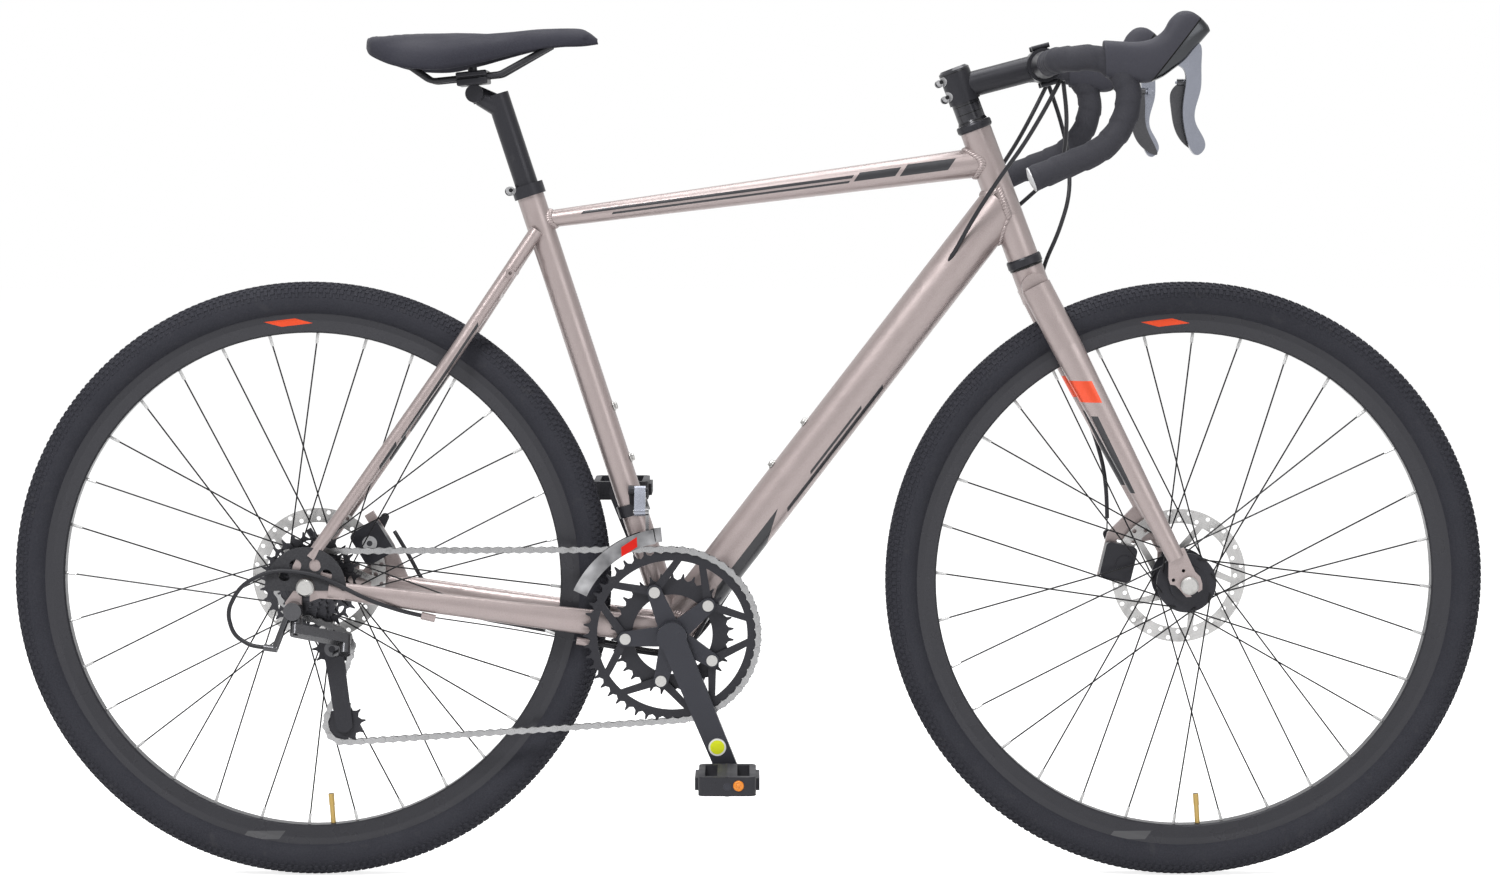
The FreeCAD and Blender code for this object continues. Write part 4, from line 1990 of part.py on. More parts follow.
def caliper(name, brake, arm_angle):
    """A mechanical disc caliper with its pads, bolts and cable arm."""
    inside, tab_face, tab_outer, back = -12, 7, 14, 24
    depth = tab_face - inside
    block = Part.makeBox(38, depth, 44, Vector(56, inside, -22))
    block = block.makeFillet(6, [edge for edge in block.Edges if abs(edge.tangentAt(edge.FirstParameter).y) > 0.9])
    x, z = brake.out, brake.along
    place = Placement(Vector(brake.hub_centre.x, brake.line, brake.hub_centre.z), Rotation(x, Y_AXIS, z, "XYZ"))
    block.Placement = place
    slot = Part.makeCylinder(float(d.rotor_radius) + 1.5, 6.4, brake.at(0, 0, -3.2), Y_AXIS)
    piston = Part.makeCylinder(12, back - tab_face, brake.at(PISTON_RADIUS, 0, tab_face), Y_AXIS)
    cap = Part.makeCylinder(10, 1.5, brake.at(PISTON_RADIUS, 0, inside - 1.5), Y_AXIS)
    pin = Part.makeCylinder(ARM_PIN, 8, brake.at(PISTON_RADIUS, 0, back), Y_AXIS)
    body = block.cut(slot).multiFuse([piston, cap, pin])
    pieces = [feature(name + "_body", body)]
    for word, low, high in (("inner", -3.2, -1.3), ("outer", 1.3, 3.2)):
        pad = Part.makeBox(17, high - low, 26, Vector(60, low, -13))
        pad.Placement = place
        pieces.append(feature(f"{name}_{word}_pad", pad))
    bolts = []
    for along in (-12, 14):
        bolts.append(Part.makeCylinder(4.5, 4, brake.at(88, along, tab_outer), Y_AXIS))
    pieces.append(feature(name + "_bolts", Part.makeCompound(bolts)))
    sub_part(name, *pieces)

    pivot = brake.at(PISTON_RADIUS, 0)
    tip = pivot + polar(ARM_LENGTH, arm_angle)
    low = brake.line + back + float(d.clear_gap)
    arm = flat_bar(pivot, tip, 8.5, ARM_END, low, low + 4, [(pivot, ARM_PIN + float(d.running_gap))])
    clamp = Part.makeCylinder(ARM_CLAMP, 9, Vector(tip.x, low, tip.z), Y_AXIS)
    sub_part(name + "_arm", feature(name + "_arm_shape", arm.fuse(clamp)))


FRONT_ARM_ANGLE = 118
REAR_ARM_ANGLE = 60
ARM_CLAMP = 4.5
ARM_END = 5


def wire_end(brake, arm_angle, route):
    """Where a brake wire meets the clamp at the end of its arm."""
    tip = brake.at(PISTON_RADIUS, 0) + polar(ARM_LENGTH, arm_angle)
    start = Vector(*route[-1])
    tip.y = start.y
    return tip + unit(start - tip) * (ARM_END + float(d.clear_gap))


FRONT_WIRE_END = wire_end(FRONT_BRAKE, FRONT_ARM_ANGLE, FRONT_BRAKE_ROUTE)
REAR_WIRE_END = wire_end(REAR_BRAKE, REAR_ARM_ANGLE, BRAKE_ROUTE)
caliper("front_caliper", FRONT_BRAKE, FRONT_ARM_ANGLE)
caliper("rear_caliper", REAR_BRAKE, REAR_ARM_ANGLE)


# Cables and the dropout guard

def cables():
    """The housings from the bar to the brakes and gears, and the wire between the two stops."""
    front = []
    for name, route in (("gear_housing", GEAR_ROUTE), ("rear_brake_housing", BRAKE_ROUTE),
                        ("shift_housing", SHIFT_ROUTE)):
        front.append(cut(name + "_end", cord(name, route, d.housing_od), TAPE_SPACE))
    front.append(rod("rear_brake_wire", Vector(*BRAKE_ROUTE[-1]), REAR_WIRE_END, d.wire_od / 2))
    sub_part("front_cables", *front)
    wire = cord("gear_wire", GEAR_WIRE, d.wire_od)
    loop = cord("gear_loop", GEAR_LOOP, d.housing_od)
    sub_part("rear_cables", wire, loop)
    brake = cord("front_brake_housing", FRONT_BRAKE_ROUTE, d.housing_od)
    bare = rod("front_brake_wire", Vector(*FRONT_BRAKE_ROUTE[-1]), FRONT_WIRE_END, d.wire_od / 2)
    sub_part("front_brake_cable", cut("front_brake_end", brake, TAPE_SPACE), bare)


cables()


def dropout_guard():
    """The plastic half-disc over the right dropout, with windows."""
    thick = 2
    y_low = -float(rear_face + d.dropout_thickness) - thick
    half = Part.makeCylinder(47, thick, at(REAR, y=y_low), Y_AXIS)
    lower = Part.makeBox(120, 40, 80, Vector(REAR.x - 60, y_low - 20, REAR.z - 84))
    tools = [lower, Part.makeCylinder(11, 20, at(REAR, y=y_low - 9), Y_AXIS)]
    for angle in (30, 66, 114, 150):
        spot = REAR + polar(28, angle)
        tools.append(Part.makeCylinder(7, 20, at(spot, y=y_low - 9), Y_AXIS))
    disc = feature("guard_disc", half.cut(Part.makeCompound(tools)))
    stays = [doc.getObject("right_seatstay"), doc.getObject("right_chainstay")]
    sub_part("dropout_guard", cut("guard_trimmed", disc, *stays))


dropout_guard()


def finish():
    """Check every object, then write one file for each sub-part."""
    doc.recompute()
    for obj in doc.Objects:
        if "Invalid" in obj.State or "Error" in obj.State:
            raise RuntimeError(f"{obj.Label} failed: {obj.State}")
    for label, obj in parts.items():
        if obj.Shape.isNull() or not obj.Shape.isValid():
            raise RuntimeError(f"{label} has no valid shape")
    os.makedirs("parts", exist_ok=True)
    for label, obj in parts.items():
        obj.Shape.exportStep(f"parts/{label}.step")


finish()
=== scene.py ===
import math

import bmesh
import bpy
from mathutils import Matrix, Vector


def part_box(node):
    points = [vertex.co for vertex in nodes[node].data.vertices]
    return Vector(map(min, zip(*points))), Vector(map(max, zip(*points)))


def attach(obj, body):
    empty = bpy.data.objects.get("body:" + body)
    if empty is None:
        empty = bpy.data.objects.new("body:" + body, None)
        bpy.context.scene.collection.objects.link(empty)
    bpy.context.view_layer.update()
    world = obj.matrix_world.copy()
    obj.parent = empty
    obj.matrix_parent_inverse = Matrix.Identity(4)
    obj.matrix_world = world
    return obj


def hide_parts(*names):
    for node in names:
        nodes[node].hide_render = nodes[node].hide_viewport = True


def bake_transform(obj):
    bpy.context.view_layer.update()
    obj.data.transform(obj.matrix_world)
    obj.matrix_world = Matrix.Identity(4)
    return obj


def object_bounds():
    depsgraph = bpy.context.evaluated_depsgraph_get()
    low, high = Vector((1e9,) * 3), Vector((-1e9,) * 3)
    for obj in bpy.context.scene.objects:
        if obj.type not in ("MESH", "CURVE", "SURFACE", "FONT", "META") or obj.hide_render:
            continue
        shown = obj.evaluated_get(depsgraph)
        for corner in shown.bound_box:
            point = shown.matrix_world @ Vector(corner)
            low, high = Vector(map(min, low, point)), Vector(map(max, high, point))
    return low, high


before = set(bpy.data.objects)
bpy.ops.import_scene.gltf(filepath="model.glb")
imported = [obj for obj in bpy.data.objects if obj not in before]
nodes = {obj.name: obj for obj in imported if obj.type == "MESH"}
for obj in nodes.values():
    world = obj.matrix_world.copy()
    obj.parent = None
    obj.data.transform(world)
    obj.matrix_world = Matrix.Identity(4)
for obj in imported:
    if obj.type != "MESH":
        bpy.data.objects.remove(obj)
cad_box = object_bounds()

MM = 0.001

# Places on the bike in the shared frame, in metres: X forward, Y to the rider's left, Z up.

WHEELBASE = 1.030
WHEEL_RADIUS = 0.353
TOP_TUBE_HEAD_DROP = 0.039
TOP_TUBE_SEAT_DROP = 0.042
DOWN_TUBE_HEAD_RISE = 0.068
HEAD_TUBE_RADIUS = 0.0185
SEAT_TUBE_RADIUS = 0.0159
SHELL_RADIUS = 0.021
REAR = Vector((-WHEELBASE / 2, 0, WHEEL_RADIUS))
FRONT = Vector((WHEELBASE / 2, 0, WHEEL_RADIUS))
BOTTOM = Vector((-0.0891, 0, 0.2935))
HEAD_LOW = Vector((0.3227, 0, 0.7346))
HEAD_HIGH = Vector((0.2665, 0, 0.8834))
SEAT_TOP = Vector((-0.2594, 0, 0.8175))
BAR_CENTRE = Vector((0.3444, 0, 0.9584))
STEER_UP = (HEAD_HIGH - HEAD_LOW).normalized()
SEAT_UP = (SEAT_TOP - BOTTOM).normalized()
TOP_FRONT = HEAD_HIGH - STEER_UP * TOP_TUBE_HEAD_DROP
TOP_REAR = SEAT_TOP - SEAT_UP * TOP_TUBE_SEAT_DROP
TOP_LINE = (TOP_FRONT - TOP_REAR).normalized()
DOWN_FRONT = HEAD_LOW + STEER_UP * DOWN_TUBE_HEAD_RISE
DOWN_UP = (DOWN_FRONT - BOTTOM).normalized()
STAY_TOP = Vector((-0.2427, 0, 0.766))
STAY_DOWN = Vector((-0.555, 0, -0.832)).normalized()
LEG_MARK = Vector((0.3897, 0, 0.5778))
LEG_DOWN = Vector((0.44, 0, -0.898)).normalized()

# The left half of the bar: its corners, measured from the bar's middle, and the radius of each bend.

BAR_CORNERS = ((0, 0.082, 0), (0, 0.208, 0), (0.088, 0.209, 0.006), (0.068, 0.211, -0.092),
               (-0.029, 0.214, -0.132))
BAR_POINTS = [BAR_CENTRE + Vector(corner) for corner in BAR_CORNERS]
BAR_BENDS = (0.029, 0.044, 0.072)


class Shader:
    """One material's nodes, with a short call for each kind used here."""

    def __init__(self, name):
        self.material = bpy.data.materials.new(name)
        self.material.use_nodes = True
        self.tree = self.material.node_tree
        self.surface = self.tree.nodes["Principled BSDF"]
        self.place = self.add("ShaderNodeTexCoord").outputs["Object"]

    def add(self, kind, **settings):
        node = self.tree.nodes.new(kind)
        for word, value in settings.items():
            setattr(node, word, value)
        return node

    def put(self, socket, value):
        """Set a socket, or join it to the output that is given."""
        if isinstance(value, bpy.types.NodeSocket):
            self.tree.links.new(value, socket)
        else:
            socket.default_value = value

    def maths(self, operation, first, second):
        node = self.add("ShaderNodeMath", operation=operation)
        self.put(node.inputs[0], first)
        self.put(node.inputs[1], second)
        return node.outputs[0]

    def noise(self, scale, detail):
        node = self.add("ShaderNodeTexNoise")
        self.put(node.inputs["Vector"], self.place)
        self.put(node.inputs["Scale"], scale)
        self.put(node.inputs["Detail"], detail)
        return node.outputs["Fac"]

    def cells(self, scale):
        node = self.add("ShaderNodeTexVoronoi")
        self.put(node.inputs["Vector"], self.place)
        self.put(node.inputs["Scale"], scale)
        return node.outputs["Distance"]

    def span(self, value, low, high, start=0.3, end=0.7):
        """Stretch a value that runs from start to end so that it runs from low to high."""
        node = self.add("ShaderNodeMapRange")
        self.put(node.inputs["Value"], value)
        for word, number in (("From Min", start), ("From Max", end), ("To Min", low), ("To Max", high)):
            self.put(node.inputs[word], number)
        return node.outputs["Result"]

    def mix(self, share, first, second):
        node = self.add("ShaderNodeMix", data_type="RGBA")
        self.put(node.inputs[0], share)
        self.put(node.inputs[6], first)
        self.put(node.inputs[7], second)
        return node.outputs[2]

    def bump(self, height, depth):
        node = self.add("ShaderNodeBump")
        self.put(node.inputs["Height"], height)
        self.put(node.inputs["Distance"], depth)
        self.put(self.surface.inputs["Normal"], node.outputs["Normal"])

    def along(self, origin, direction):
        """How far a point lies from an origin in a direction."""
        node = self.add("ShaderNodeVectorMath", operation="DOT_PRODUCT")
        self.put(node.inputs[0], self.place)
        node.inputs[1].default_value = direction
        return self.maths("SUBTRACT", node.outputs["Value"], origin.dot(direction))

    def between(self, value, low, high):
        """One while a value lies between two others, else zero."""
        above = self.maths("GREATER_THAN", value, low)
        return self.maths("MULTIPLY", above, self.maths("LESS_THAN", value, high))

    def patch(self, origin, direction, length, width, skew=0.0):
        """One inside a slanted block that is drawn on the side of the bike, else zero."""
        side = Vector((-direction.z, 0, direction.x))
        across = self.along(origin, side)
        down = self.along(origin, direction)
        down = self.maths("SUBTRACT", down, self.maths("MULTIPLY", across, skew))
        return self.maths("MULTIPLY", self.between(down, *length), self.between(across, *width))

    def disc(self, centre, radius):
        """One inside a round spot on the side of the bike, else zero."""
        node = self.add("ShaderNodeVectorMath", operation="MULTIPLY_ADD")
        self.put(node.inputs[0], self.place)
        node.inputs[1].default_value = (1, 0, 1)
        node.inputs[2].default_value = (-centre.x, 0, -centre.z)
        size = self.add("ShaderNodeVectorMath", operation="LENGTH")
        self.put(size.inputs[0], node.outputs["Vector"])
        return self.maths("LESS_THAN", size.outputs["Value"], radius)

    def distance(self, centre):
        """How far a point lies from a centre."""
        node = self.add("ShaderNodeVectorMath", operation="DISTANCE")
        self.put(node.inputs[0], self.place)
        node.inputs[1].default_value = centre
        return node.outputs["Value"]

    def seen_rays(self):
        """One for rays that reach the eye, straight or by way of a mirror or glass, else zero."""
        path = self.add("ShaderNodeLightPath")
        seen = path.outputs["Is Camera Ray"]
        for word in ("Is Glossy Ray", "Is Transmission Ray"):
            seen = self.maths("MAXIMUM", seen, path.outputs[word])
        return seen


# What all finishes share: the scale of their broad noise and of their wear, and where in the noise wear shows.

BROAD_SCALE = 26
WEAR_SCALE = 70
WEAR_START, WEAR_END = 0.62, 0.74
COAT_ROUGHNESS = 0.12


def finish(name, tones, rough, metallic=0.0, grain=900, depth=0.00005, coat=0.0, wear=None, shine=0.5):
    """A surface with fine grain, broader changes of tone and shine, and light wear if a colour is given."""
    shader = Shader(name)
    dark, light = tones
    fine = shader.noise(grain, 2)
    broad = shader.noise(BROAD_SCALE, 5)
    colour = shader.mix(shader.span(fine, 0, 1), (*dark, 1), (*light, 1))
    if wear:
        rubbed = shader.span(shader.noise(WEAR_SCALE, 8), 0, 0.5, WEAR_START, WEAR_END)
        colour = shader.mix(rubbed, colour, (*wear, 1))
    shader.put(shader.surface.inputs["Base Color"], colour)
    shader.put(shader.surface.inputs["Roughness"], shader.span(broad, *rough))
    shader.put(shader.surface.inputs["Metallic"], metallic)
    shader.put(shader.surface.inputs["Specular IOR Level"], shine)
    shader.put(shader.surface.inputs["Coat Weight"], coat)
    shader.put(shader.surface.inputs["Coat Roughness"], COAT_ROUGHNESS)
    shader.bump(fine, depth)
    shader.colour = colour
    return shader


def paint_over(shader, mask, colour):
    """Lay a colour over a finish wherever a mask is one."""
    shader.colour = shader.mix(mask, shader.colour, (*colour, 1))
    shader.put(shader.surface.inputs["Base Color"], shader.colour)


# Tones are pairs of a dark and a light colour. All other colours are single ones.

CHAMPAGNE_TONES = ((0.295, 0.243, 0.236), (0.385, 0.325, 0.32))
BLACK_TONES = ((0.026, 0.026, 0.031), (0.036, 0.036, 0.042))
RIM_TONES = ((0.035, 0.035, 0.04), (0.046, 0.046, 0.053))
SPOKE_TONES = ((0.012, 0.012, 0.013), (0.02, 0.02, 0.022))
CRANK_TONES = ((0.032, 0.033, 0.041), (0.043, 0.044, 0.054))
CALIPER_TONES = ((0.024, 0.024, 0.029), (0.034, 0.034, 0.04))
HOOD_TONES = ((0.046, 0.046, 0.057), (0.06, 0.06, 0.074))
TAPE_TONES = ((0.040, 0.040, 0.048), (0.053, 0.053, 0.063))
SKIN_TONES = ((0.030, 0.030, 0.040), (0.042, 0.042, 0.054))
# The chrome's dark and light tones, spread by broad noise, are painted reflections.
CHROME_PAINTED_REFLECTION_TONES = ((0.11, 0.11, 0.115), (0.34, 0.34, 0.35))
ROTOR_TONES = ((0.37, 0.366, 0.364), (0.53, 0.525, 0.52))
CASSETTE_TONES = ((0.028, 0.028, 0.032), (0.06, 0.06, 0.066))
AMBER_TONES = ((0.75, 0.2, 0.005), (0.9, 0.3, 0.01))
FLOOR_TONES = ((0.78, 0.78, 0.78), (0.82, 0.82, 0.82))
CHARCOAL = (0.028, 0.028, 0.032)
SIGNAL_RED = (0.72, 0.07, 0.02)
CAGE_RED = (0.5, 0.02, 0.015)
BLOCK_GREY = (0.09, 0.09, 0.095)
BRASS = (0.52, 0.36, 0.12)
NIPPLE_SILVER = (0.6, 0.6, 0.6)
PLUG_SILVER = (0.55, 0.55, 0.56)
SPOT_WHITE = (0.75, 0.75, 0.72)
SPOT_YELLOW = (0.72, 0.78, 0.02)
BOLT_SILVER = (0.4, 0.4, 0.41)
SOCKET_BLACK = (0.02, 0.02, 0.022)
KNOB_SILVER = (0.42, 0.42, 0.43)
KNOB_DARK = (0.05, 0.05, 0.055)
LEVER_BODY_GREY = (0.05, 0.052, 0.056)
GROOVE_BLACK = (0.004, 0.004, 0.004)
JOINT_BLACK = (0.002, 0.002, 0.002)

# Stripes on a tube: how far each runs along the tube, how far across it, and its slant.

TOP_STRIPES = (((0.43, 0.487), (-0.004, 0.0085), 0.9), ((0.375, 0.424), (-0.003, 0.0065), 0.9),
               ((0.05, 0.37), (0.001, 0.0045), 0.9), ((0.09, 0.37), (-0.004, -0.0015), 0.9))
DOWN_STRIPES = (((0.098, 0.215), (-0.03, -0.009), 2.6), ((0.216, 0.40), (-0.0215, -0.0175), 1.0),
                ((0.262, 0.36), (-0.0155, -0.0125), 1.0))
STAY_STRIPES = (((0.13, 0.29), (-0.0015, 0.0015), 1.2), ((0.3, 0.335), (-0.004, 0.004), 1.2))
LEG_BLOCK = ((-0.016, 0.012), (-0.014, 0.015), 0.5)
LEG_STRIPE = ((0.03, 0.13), (-0.0035, 0.0035), 0.5)


def champagne(name):
    """Metallic paint with fine flakes under a clear coat."""
    return finish(name, CHAMPAGNE_TONES, (0.3, 0.44), metallic=0.5, grain=1900, depth=0.00001, coat=0.25)


def black_metal(name, tones=BLACK_TONES, rough=(0.26, 0.42), depth=0.00002, wear=None, shine=0.2):
    """Black anodised metal."""
    return finish(name, tones, rough, metallic=0.3, grain=1500, depth=depth, wear=wear, shine=shine)


def frame_paint():
    """The frame's paint with plain dark stripes on the top tube, the down tube and the seat stays."""
    shader = champagne("frame_paint")
    for origin, direction, stripes in ((TOP_REAR, TOP_LINE, TOP_STRIPES), (BOTTOM, DOWN_UP, DOWN_STRIPES),
                                       (STAY_TOP, STAY_DOWN, STAY_STRIPES)):
        for stripe in stripes:
            paint_over(shader, shader.patch(origin, direction, *stripe), CHARCOAL)
    return shader.material


def fork_paint():
    """The fork's paint with a red block and a dark stripe on each leg."""
    shader = champagne("fork_paint")
    paint_over(shader, shader.patch(LEG_MARK, LEG_DOWN, *LEG_BLOCK), SIGNAL_RED)
    paint_over(shader, shader.patch(LEG_MARK, LEG_DOWN, *LEG_STRIPE), CHARCOAL)
    return shader.material


VALVE_ANGLE = math.radians(-86)
VALVE_LINE = Vector((math.cos(VALVE_ANGLE), 0, math.sin(VALVE_ANGLE)))
WEDGE_OFFSET = Vector((-0.03, 0, 0.305))
WEDGE_LINE = Vector((1, 0, 0.12)).normalized()
BLOCK_OFFSET = Vector((0, 0, -0.3055))
NIPPLE_START = 0.2805


def rim_finish(name, centre):
    """A black rim with a red wedge at the top, a brass valve at the bottom and a grey block beside it."""
    shader = finish(name, RIM_TONES, (0.24, 0.36), metallic=0.3, grain=1300, depth=0.00002,
                    coat=0.05, shine=0.2)
    wedge = shader.patch(centre + WEDGE_OFFSET, WEDGE_LINE, (-0.015, 0.022), (-0.0045, 0.0035), -2.5)
    paint_over(shader, wedge, SIGNAL_RED)
    valve = shader.patch(centre, VALVE_LINE, (0.257, 0.2925), (-0.0045, 0.0045))
    paint_over(shader, valve, BRASS)
    block = shader.patch(centre + BLOCK_OFFSET, Vector((1, 0, 0)), (-0.085, -0.04), (-0.004, 0.006), 0.8)
    paint_over(shader, block, BLOCK_GREY)
    return shader.material


def brushed_disc(name, centre, tones):
    """Steel that was ground round its centre."""
    shader = Shader(name)
    dark, light = tones
    rings = shader.add("ShaderNodeTexNoise", noise_dimensions="1D")
    shader.put(rings.inputs["W"], shader.distance(centre))
    shader.put(rings.inputs["Scale"], 2400.0)
    shader.put(rings.inputs["Detail"], 3.0)
    shade = shader.mix(shader.span(rings.outputs["Fac"], 0, 1), (*dark, 1), (*light, 1))
    shader.put(shader.surface.inputs["Base Color"], shade)
    shader.put(shader.surface.inputs["Metallic"], 1.0)
    shader.put(shader.surface.inputs["Roughness"], shader.span(shader.noise(60, 4), 0.24, 0.42))
    shader.bump(rings.outputs["Fac"], 0.00002)
    return shader.material


def spoke_finish(name, centre):
    """Black spokes with bright nipples next to the rim."""
    shader = black_metal(name, SPOKE_TONES, (0.28, 0.42))
    paint_over(shader, shader.maths("GREATER_THAN", shader.distance(centre), NIPPLE_START), NIPPLE_SILVER)
    return shader.material


def bar_finish():
    """A black bar with a bright plug in each end."""
    shader = black_metal("bar_black", rough=(0.3, 0.45))
    heading = BAR_POINTS[-1] - BAR_POINTS[-2]
    heading.y = 0
    heading.normalize()
    paint_over(shader, shader.patch(BAR_POINTS[-1], heading, (0.0002, 0.02), (-0.03, 0.03)), PLUG_SILVER)
    return shader.material


def spots_over(shader, place, *spots):
    """Round spots of colour on one place, each with its radius, the widest first."""
    for radius, colour in spots:
        paint_over(shader, shader.disc(place, radius), colour)


def crank_finish():
    """Black forged metal with a yellow spot in a white ring near the pedal."""
    shader = black_metal("crank_black", CRANK_TONES, (0.24, 0.4), shine=0.25)
    spots_over(shader, Vector((-0.0362, 0, 0.1645)), (0.0103, SPOT_WHITE), (0.0083, SPOT_YELLOW))
    return shader.material


def bolted_black(name, *bolts):
    """Black metal with bright bolt heads at the given places."""
    shader = black_metal(name)
    for place in bolts:
        spots_over(shader, place, (0.0062, BOLT_SILVER), (0.0024, SOCKET_BLACK))
    return shader.material


def caliper_finish(name, knob):
    """A black caliper with a bright pad adjuster."""
    shader = black_metal(name, CALIPER_TONES)
    spots_over(shader, knob, (0.0088, KNOB_SILVER), (0.0035, KNOB_DARK))
    return shader.material


def chrome_finish():
    """Polished cage plates whose broad changes between a dark and a light tone are painted reflections, with a
    red block on the outer plate.
    """
    shader = finish("chrome", CHROME_PAINTED_REFLECTION_TONES, (0.08, 0.16), metallic=1.0, grain=42, depth=0.000002)
    heading = Vector((0.83, 0, 0.55)).normalized()
    block = shader.patch(Vector((-0.139, 0, 0.398)), heading, (-0.011, 0.011), (-0.005, 0.005), 0.6)
    paint_over(shader, block, CAGE_RED)
    return shader.material


SPACER_PITCH = 0.01
SPACER_LINE = 0.0009


def ring_finish():
    """Glossy spacers with a thin dark line between one ring and the next."""
    shader = black_metal("spacer_black", rough=(0.16, 0.26), depth=0.00001, shine=0.4)
    height = shader.maths("MODULO", shader.along(HEAD_LOW, STEER_UP), SPACER_PITCH)
    paint_over(shader, shader.maths("LESS_THAN", height, SPACER_LINE), JOINT_BLACK)
    return shader.material


def hood_finish():
    """Hood rubber that ends at a slanted edge, in front of which the lever's polished body shows."""
    shader = finish("hood_rubber", HOOD_TONES, (0.5, 0.68), grain=1500, depth=0.00008, shine=0.14)
    edge = shader.along(Vector((0.4953, 0, 0.997)), Vector((0.79, 0, -0.61)))
    body = shader.maths("GREATER_THAN", edge, 0.0)
    groove = shader.between(edge, -0.0012, 0.0003)
    paint_over(shader, body, LEVER_BODY_GREY)
    paint_over(shader, groove, GROOVE_BLACK)
    shader.put(shader.surface.inputs["Metallic"], body)
    polish = shader.maths("MULTIPLY", body, 0.4)
    shader.put(shader.surface.inputs["Roughness"], shader.maths("SUBTRACT", 0.58, polish))
    return shader.material


def tape_finish():
    """Soft bar tape with small punched dimples."""
    shader = finish("bar_tape_cork", TAPE_TONES, (0.58, 0.78), grain=1300, depth=0.0001, shine=0.14)
    dots = shader.span(shader.cells(420), 0, 1, 0.0, 0.45)
    grain = shader.maths("ADD", dots, shader.maths("MULTIPLY", shader.noise(1500, 3), 0.6))
    shader.bump(grain, 0.00022)
    return shader.material


def skin_finish():
    """Saddle skin with pores and a fine leather grain."""
    shader = finish("saddle_skin", SKIN_TONES, (0.46, 0.64), grain=900, depth=0.0001, shine=0.1)
    pores = shader.span(shader.cells(780), 0, 1, 0.0, 0.5)
    shader.bump(shader.maths("ADD", pores, shader.noise(260, 4)), 0.00016)
    return shader.material


BLACK = black_metal("black_metal", wear=(0.055, 0.055, 0.06)).material
SATIN = finish("satin_black", ((0.028, 0.028, 0.032), (0.04, 0.04, 0.046)), (0.4, 0.56), metallic=0.3,
               grain=1700, depth=0.00004, shine=0.25).material
PLASTIC = finish("black_plastic", ((0.025, 0.025, 0.03), (0.035, 0.035, 0.041)), (0.42, 0.6),
                 grain=1400, depth=0.00006, shine=0.22).material
GUARD = finish("grey_plastic", ((0.034, 0.034, 0.038), (0.05, 0.05, 0.055)), (0.5, 0.66),
               grain=500, depth=0.0001, wear=(0.07, 0.07, 0.075), shine=0.2).material
STEEL = finish("steel", ((0.38, 0.375, 0.365), (0.46, 0.455, 0.445)), (0.24, 0.42), metallic=1.0,
               grain=1500, depth=0.00003, wear=(0.25, 0.24, 0.22)).material
CHAIN = finish("chain_steel", ((0.24, 0.24, 0.245), (0.34, 0.34, 0.345)), (0.2, 0.36), metallic=1.0,
               grain=1800, depth=0.00003, wear=(0.12, 0.118, 0.115)).material
GREY = finish("grey_metal", ((0.07, 0.07, 0.075), (0.082, 0.082, 0.088)), (0.2, 0.34), metallic=0.85,
              grain=500, depth=0.000004).material
SILVER = finish("silver_grey", ((0.25, 0.262, 0.305), (0.27, 0.283, 0.33)), (0.2, 0.32), metallic=0.9,
                grain=500, depth=0.000004).material
TREAD = finish("tyre_rubber", ((0.030, 0.0305, 0.038), (0.041, 0.0415, 0.051)), (0.62, 0.82),
               grain=600, depth=0.00012, wear=(0.054, 0.053, 0.059), shine=0.12).material
HOUSING = finish("cable_housing", ((0.02, 0.02, 0.024), (0.028, 0.028, 0.033)), (0.32, 0.46),
                 grain=1100, depth=0.00003, shine=0.25).material

# The material of each node. All others are black metal.

LOOKS = {
    "frame": frame_paint(),
    "fork": fork_paint(),
    "front_rim": rim_finish("front_rim_black", FRONT),
    "rear_rim": rim_finish("rear_rim_black", REAR),
    "front_spokes": spoke_finish("front_spoke_black", FRONT),
    "rear_spokes": spoke_finish("rear_spoke_black", REAR),
    "front_rotor": brushed_disc("front_rotor_steel", FRONT, ROTOR_TONES),
    "rear_rotor": brushed_disc("rear_rotor_steel", REAR, ROTOR_TONES),
    "cassette": brushed_disc("cassette_steel", REAR, CASSETTE_TONES),
    "right_crank": crank_finish(),
    "handlebar": bar_finish(),
    "headset_spacers": ring_finish(),
    "front_derailleur_cage": chrome_finish(),
    "seat_collar": bolted_black("collar_black", Vector((-0.278, 0, 0.813))),
    "stem": bolted_black("stem_black", Vector((0.2255, 0, 0.9387)), Vector((0.2325, 0, 0.921))),
    "rear_caliper": caliper_finish("rear_caliper_black", Vector((-0.453, 0, 0.3916))),
}
SHARED_LOOKS = (
    (CHAIN, ("chain",)),
    (STEEL, ("chainring_bolts", "front_axle", "rear_axle")),
    (SATIN, ("saddle_rails",)),
    (SILVER, ("front_derailleur_link", "right_brake_lever", "left_brake_lever")),
    (GREY, ("rd_outer_link", "rd_b_knuckle", "rd_p_knuckle", "right_shift_paddle", "left_shift_paddle",
            "bottom_bracket")),
    (PLASTIC, ("guide_pulley", "tension_pulley", "saddle_shell", "right_pedal", "left_pedal")),
    (GUARD, ("dropout_guard",)),
    (HOUSING, ("rear_cables", "front_brake_cable")),
)
for material, names in SHARED_LOOKS:
    LOOKS.update({name: material for name in names})
for name, thing in nodes.items():
    thing.data.materials.clear()
    thing.data.materials.append(LOOKS.get(name, BLACK))

# Pieces that are built here.


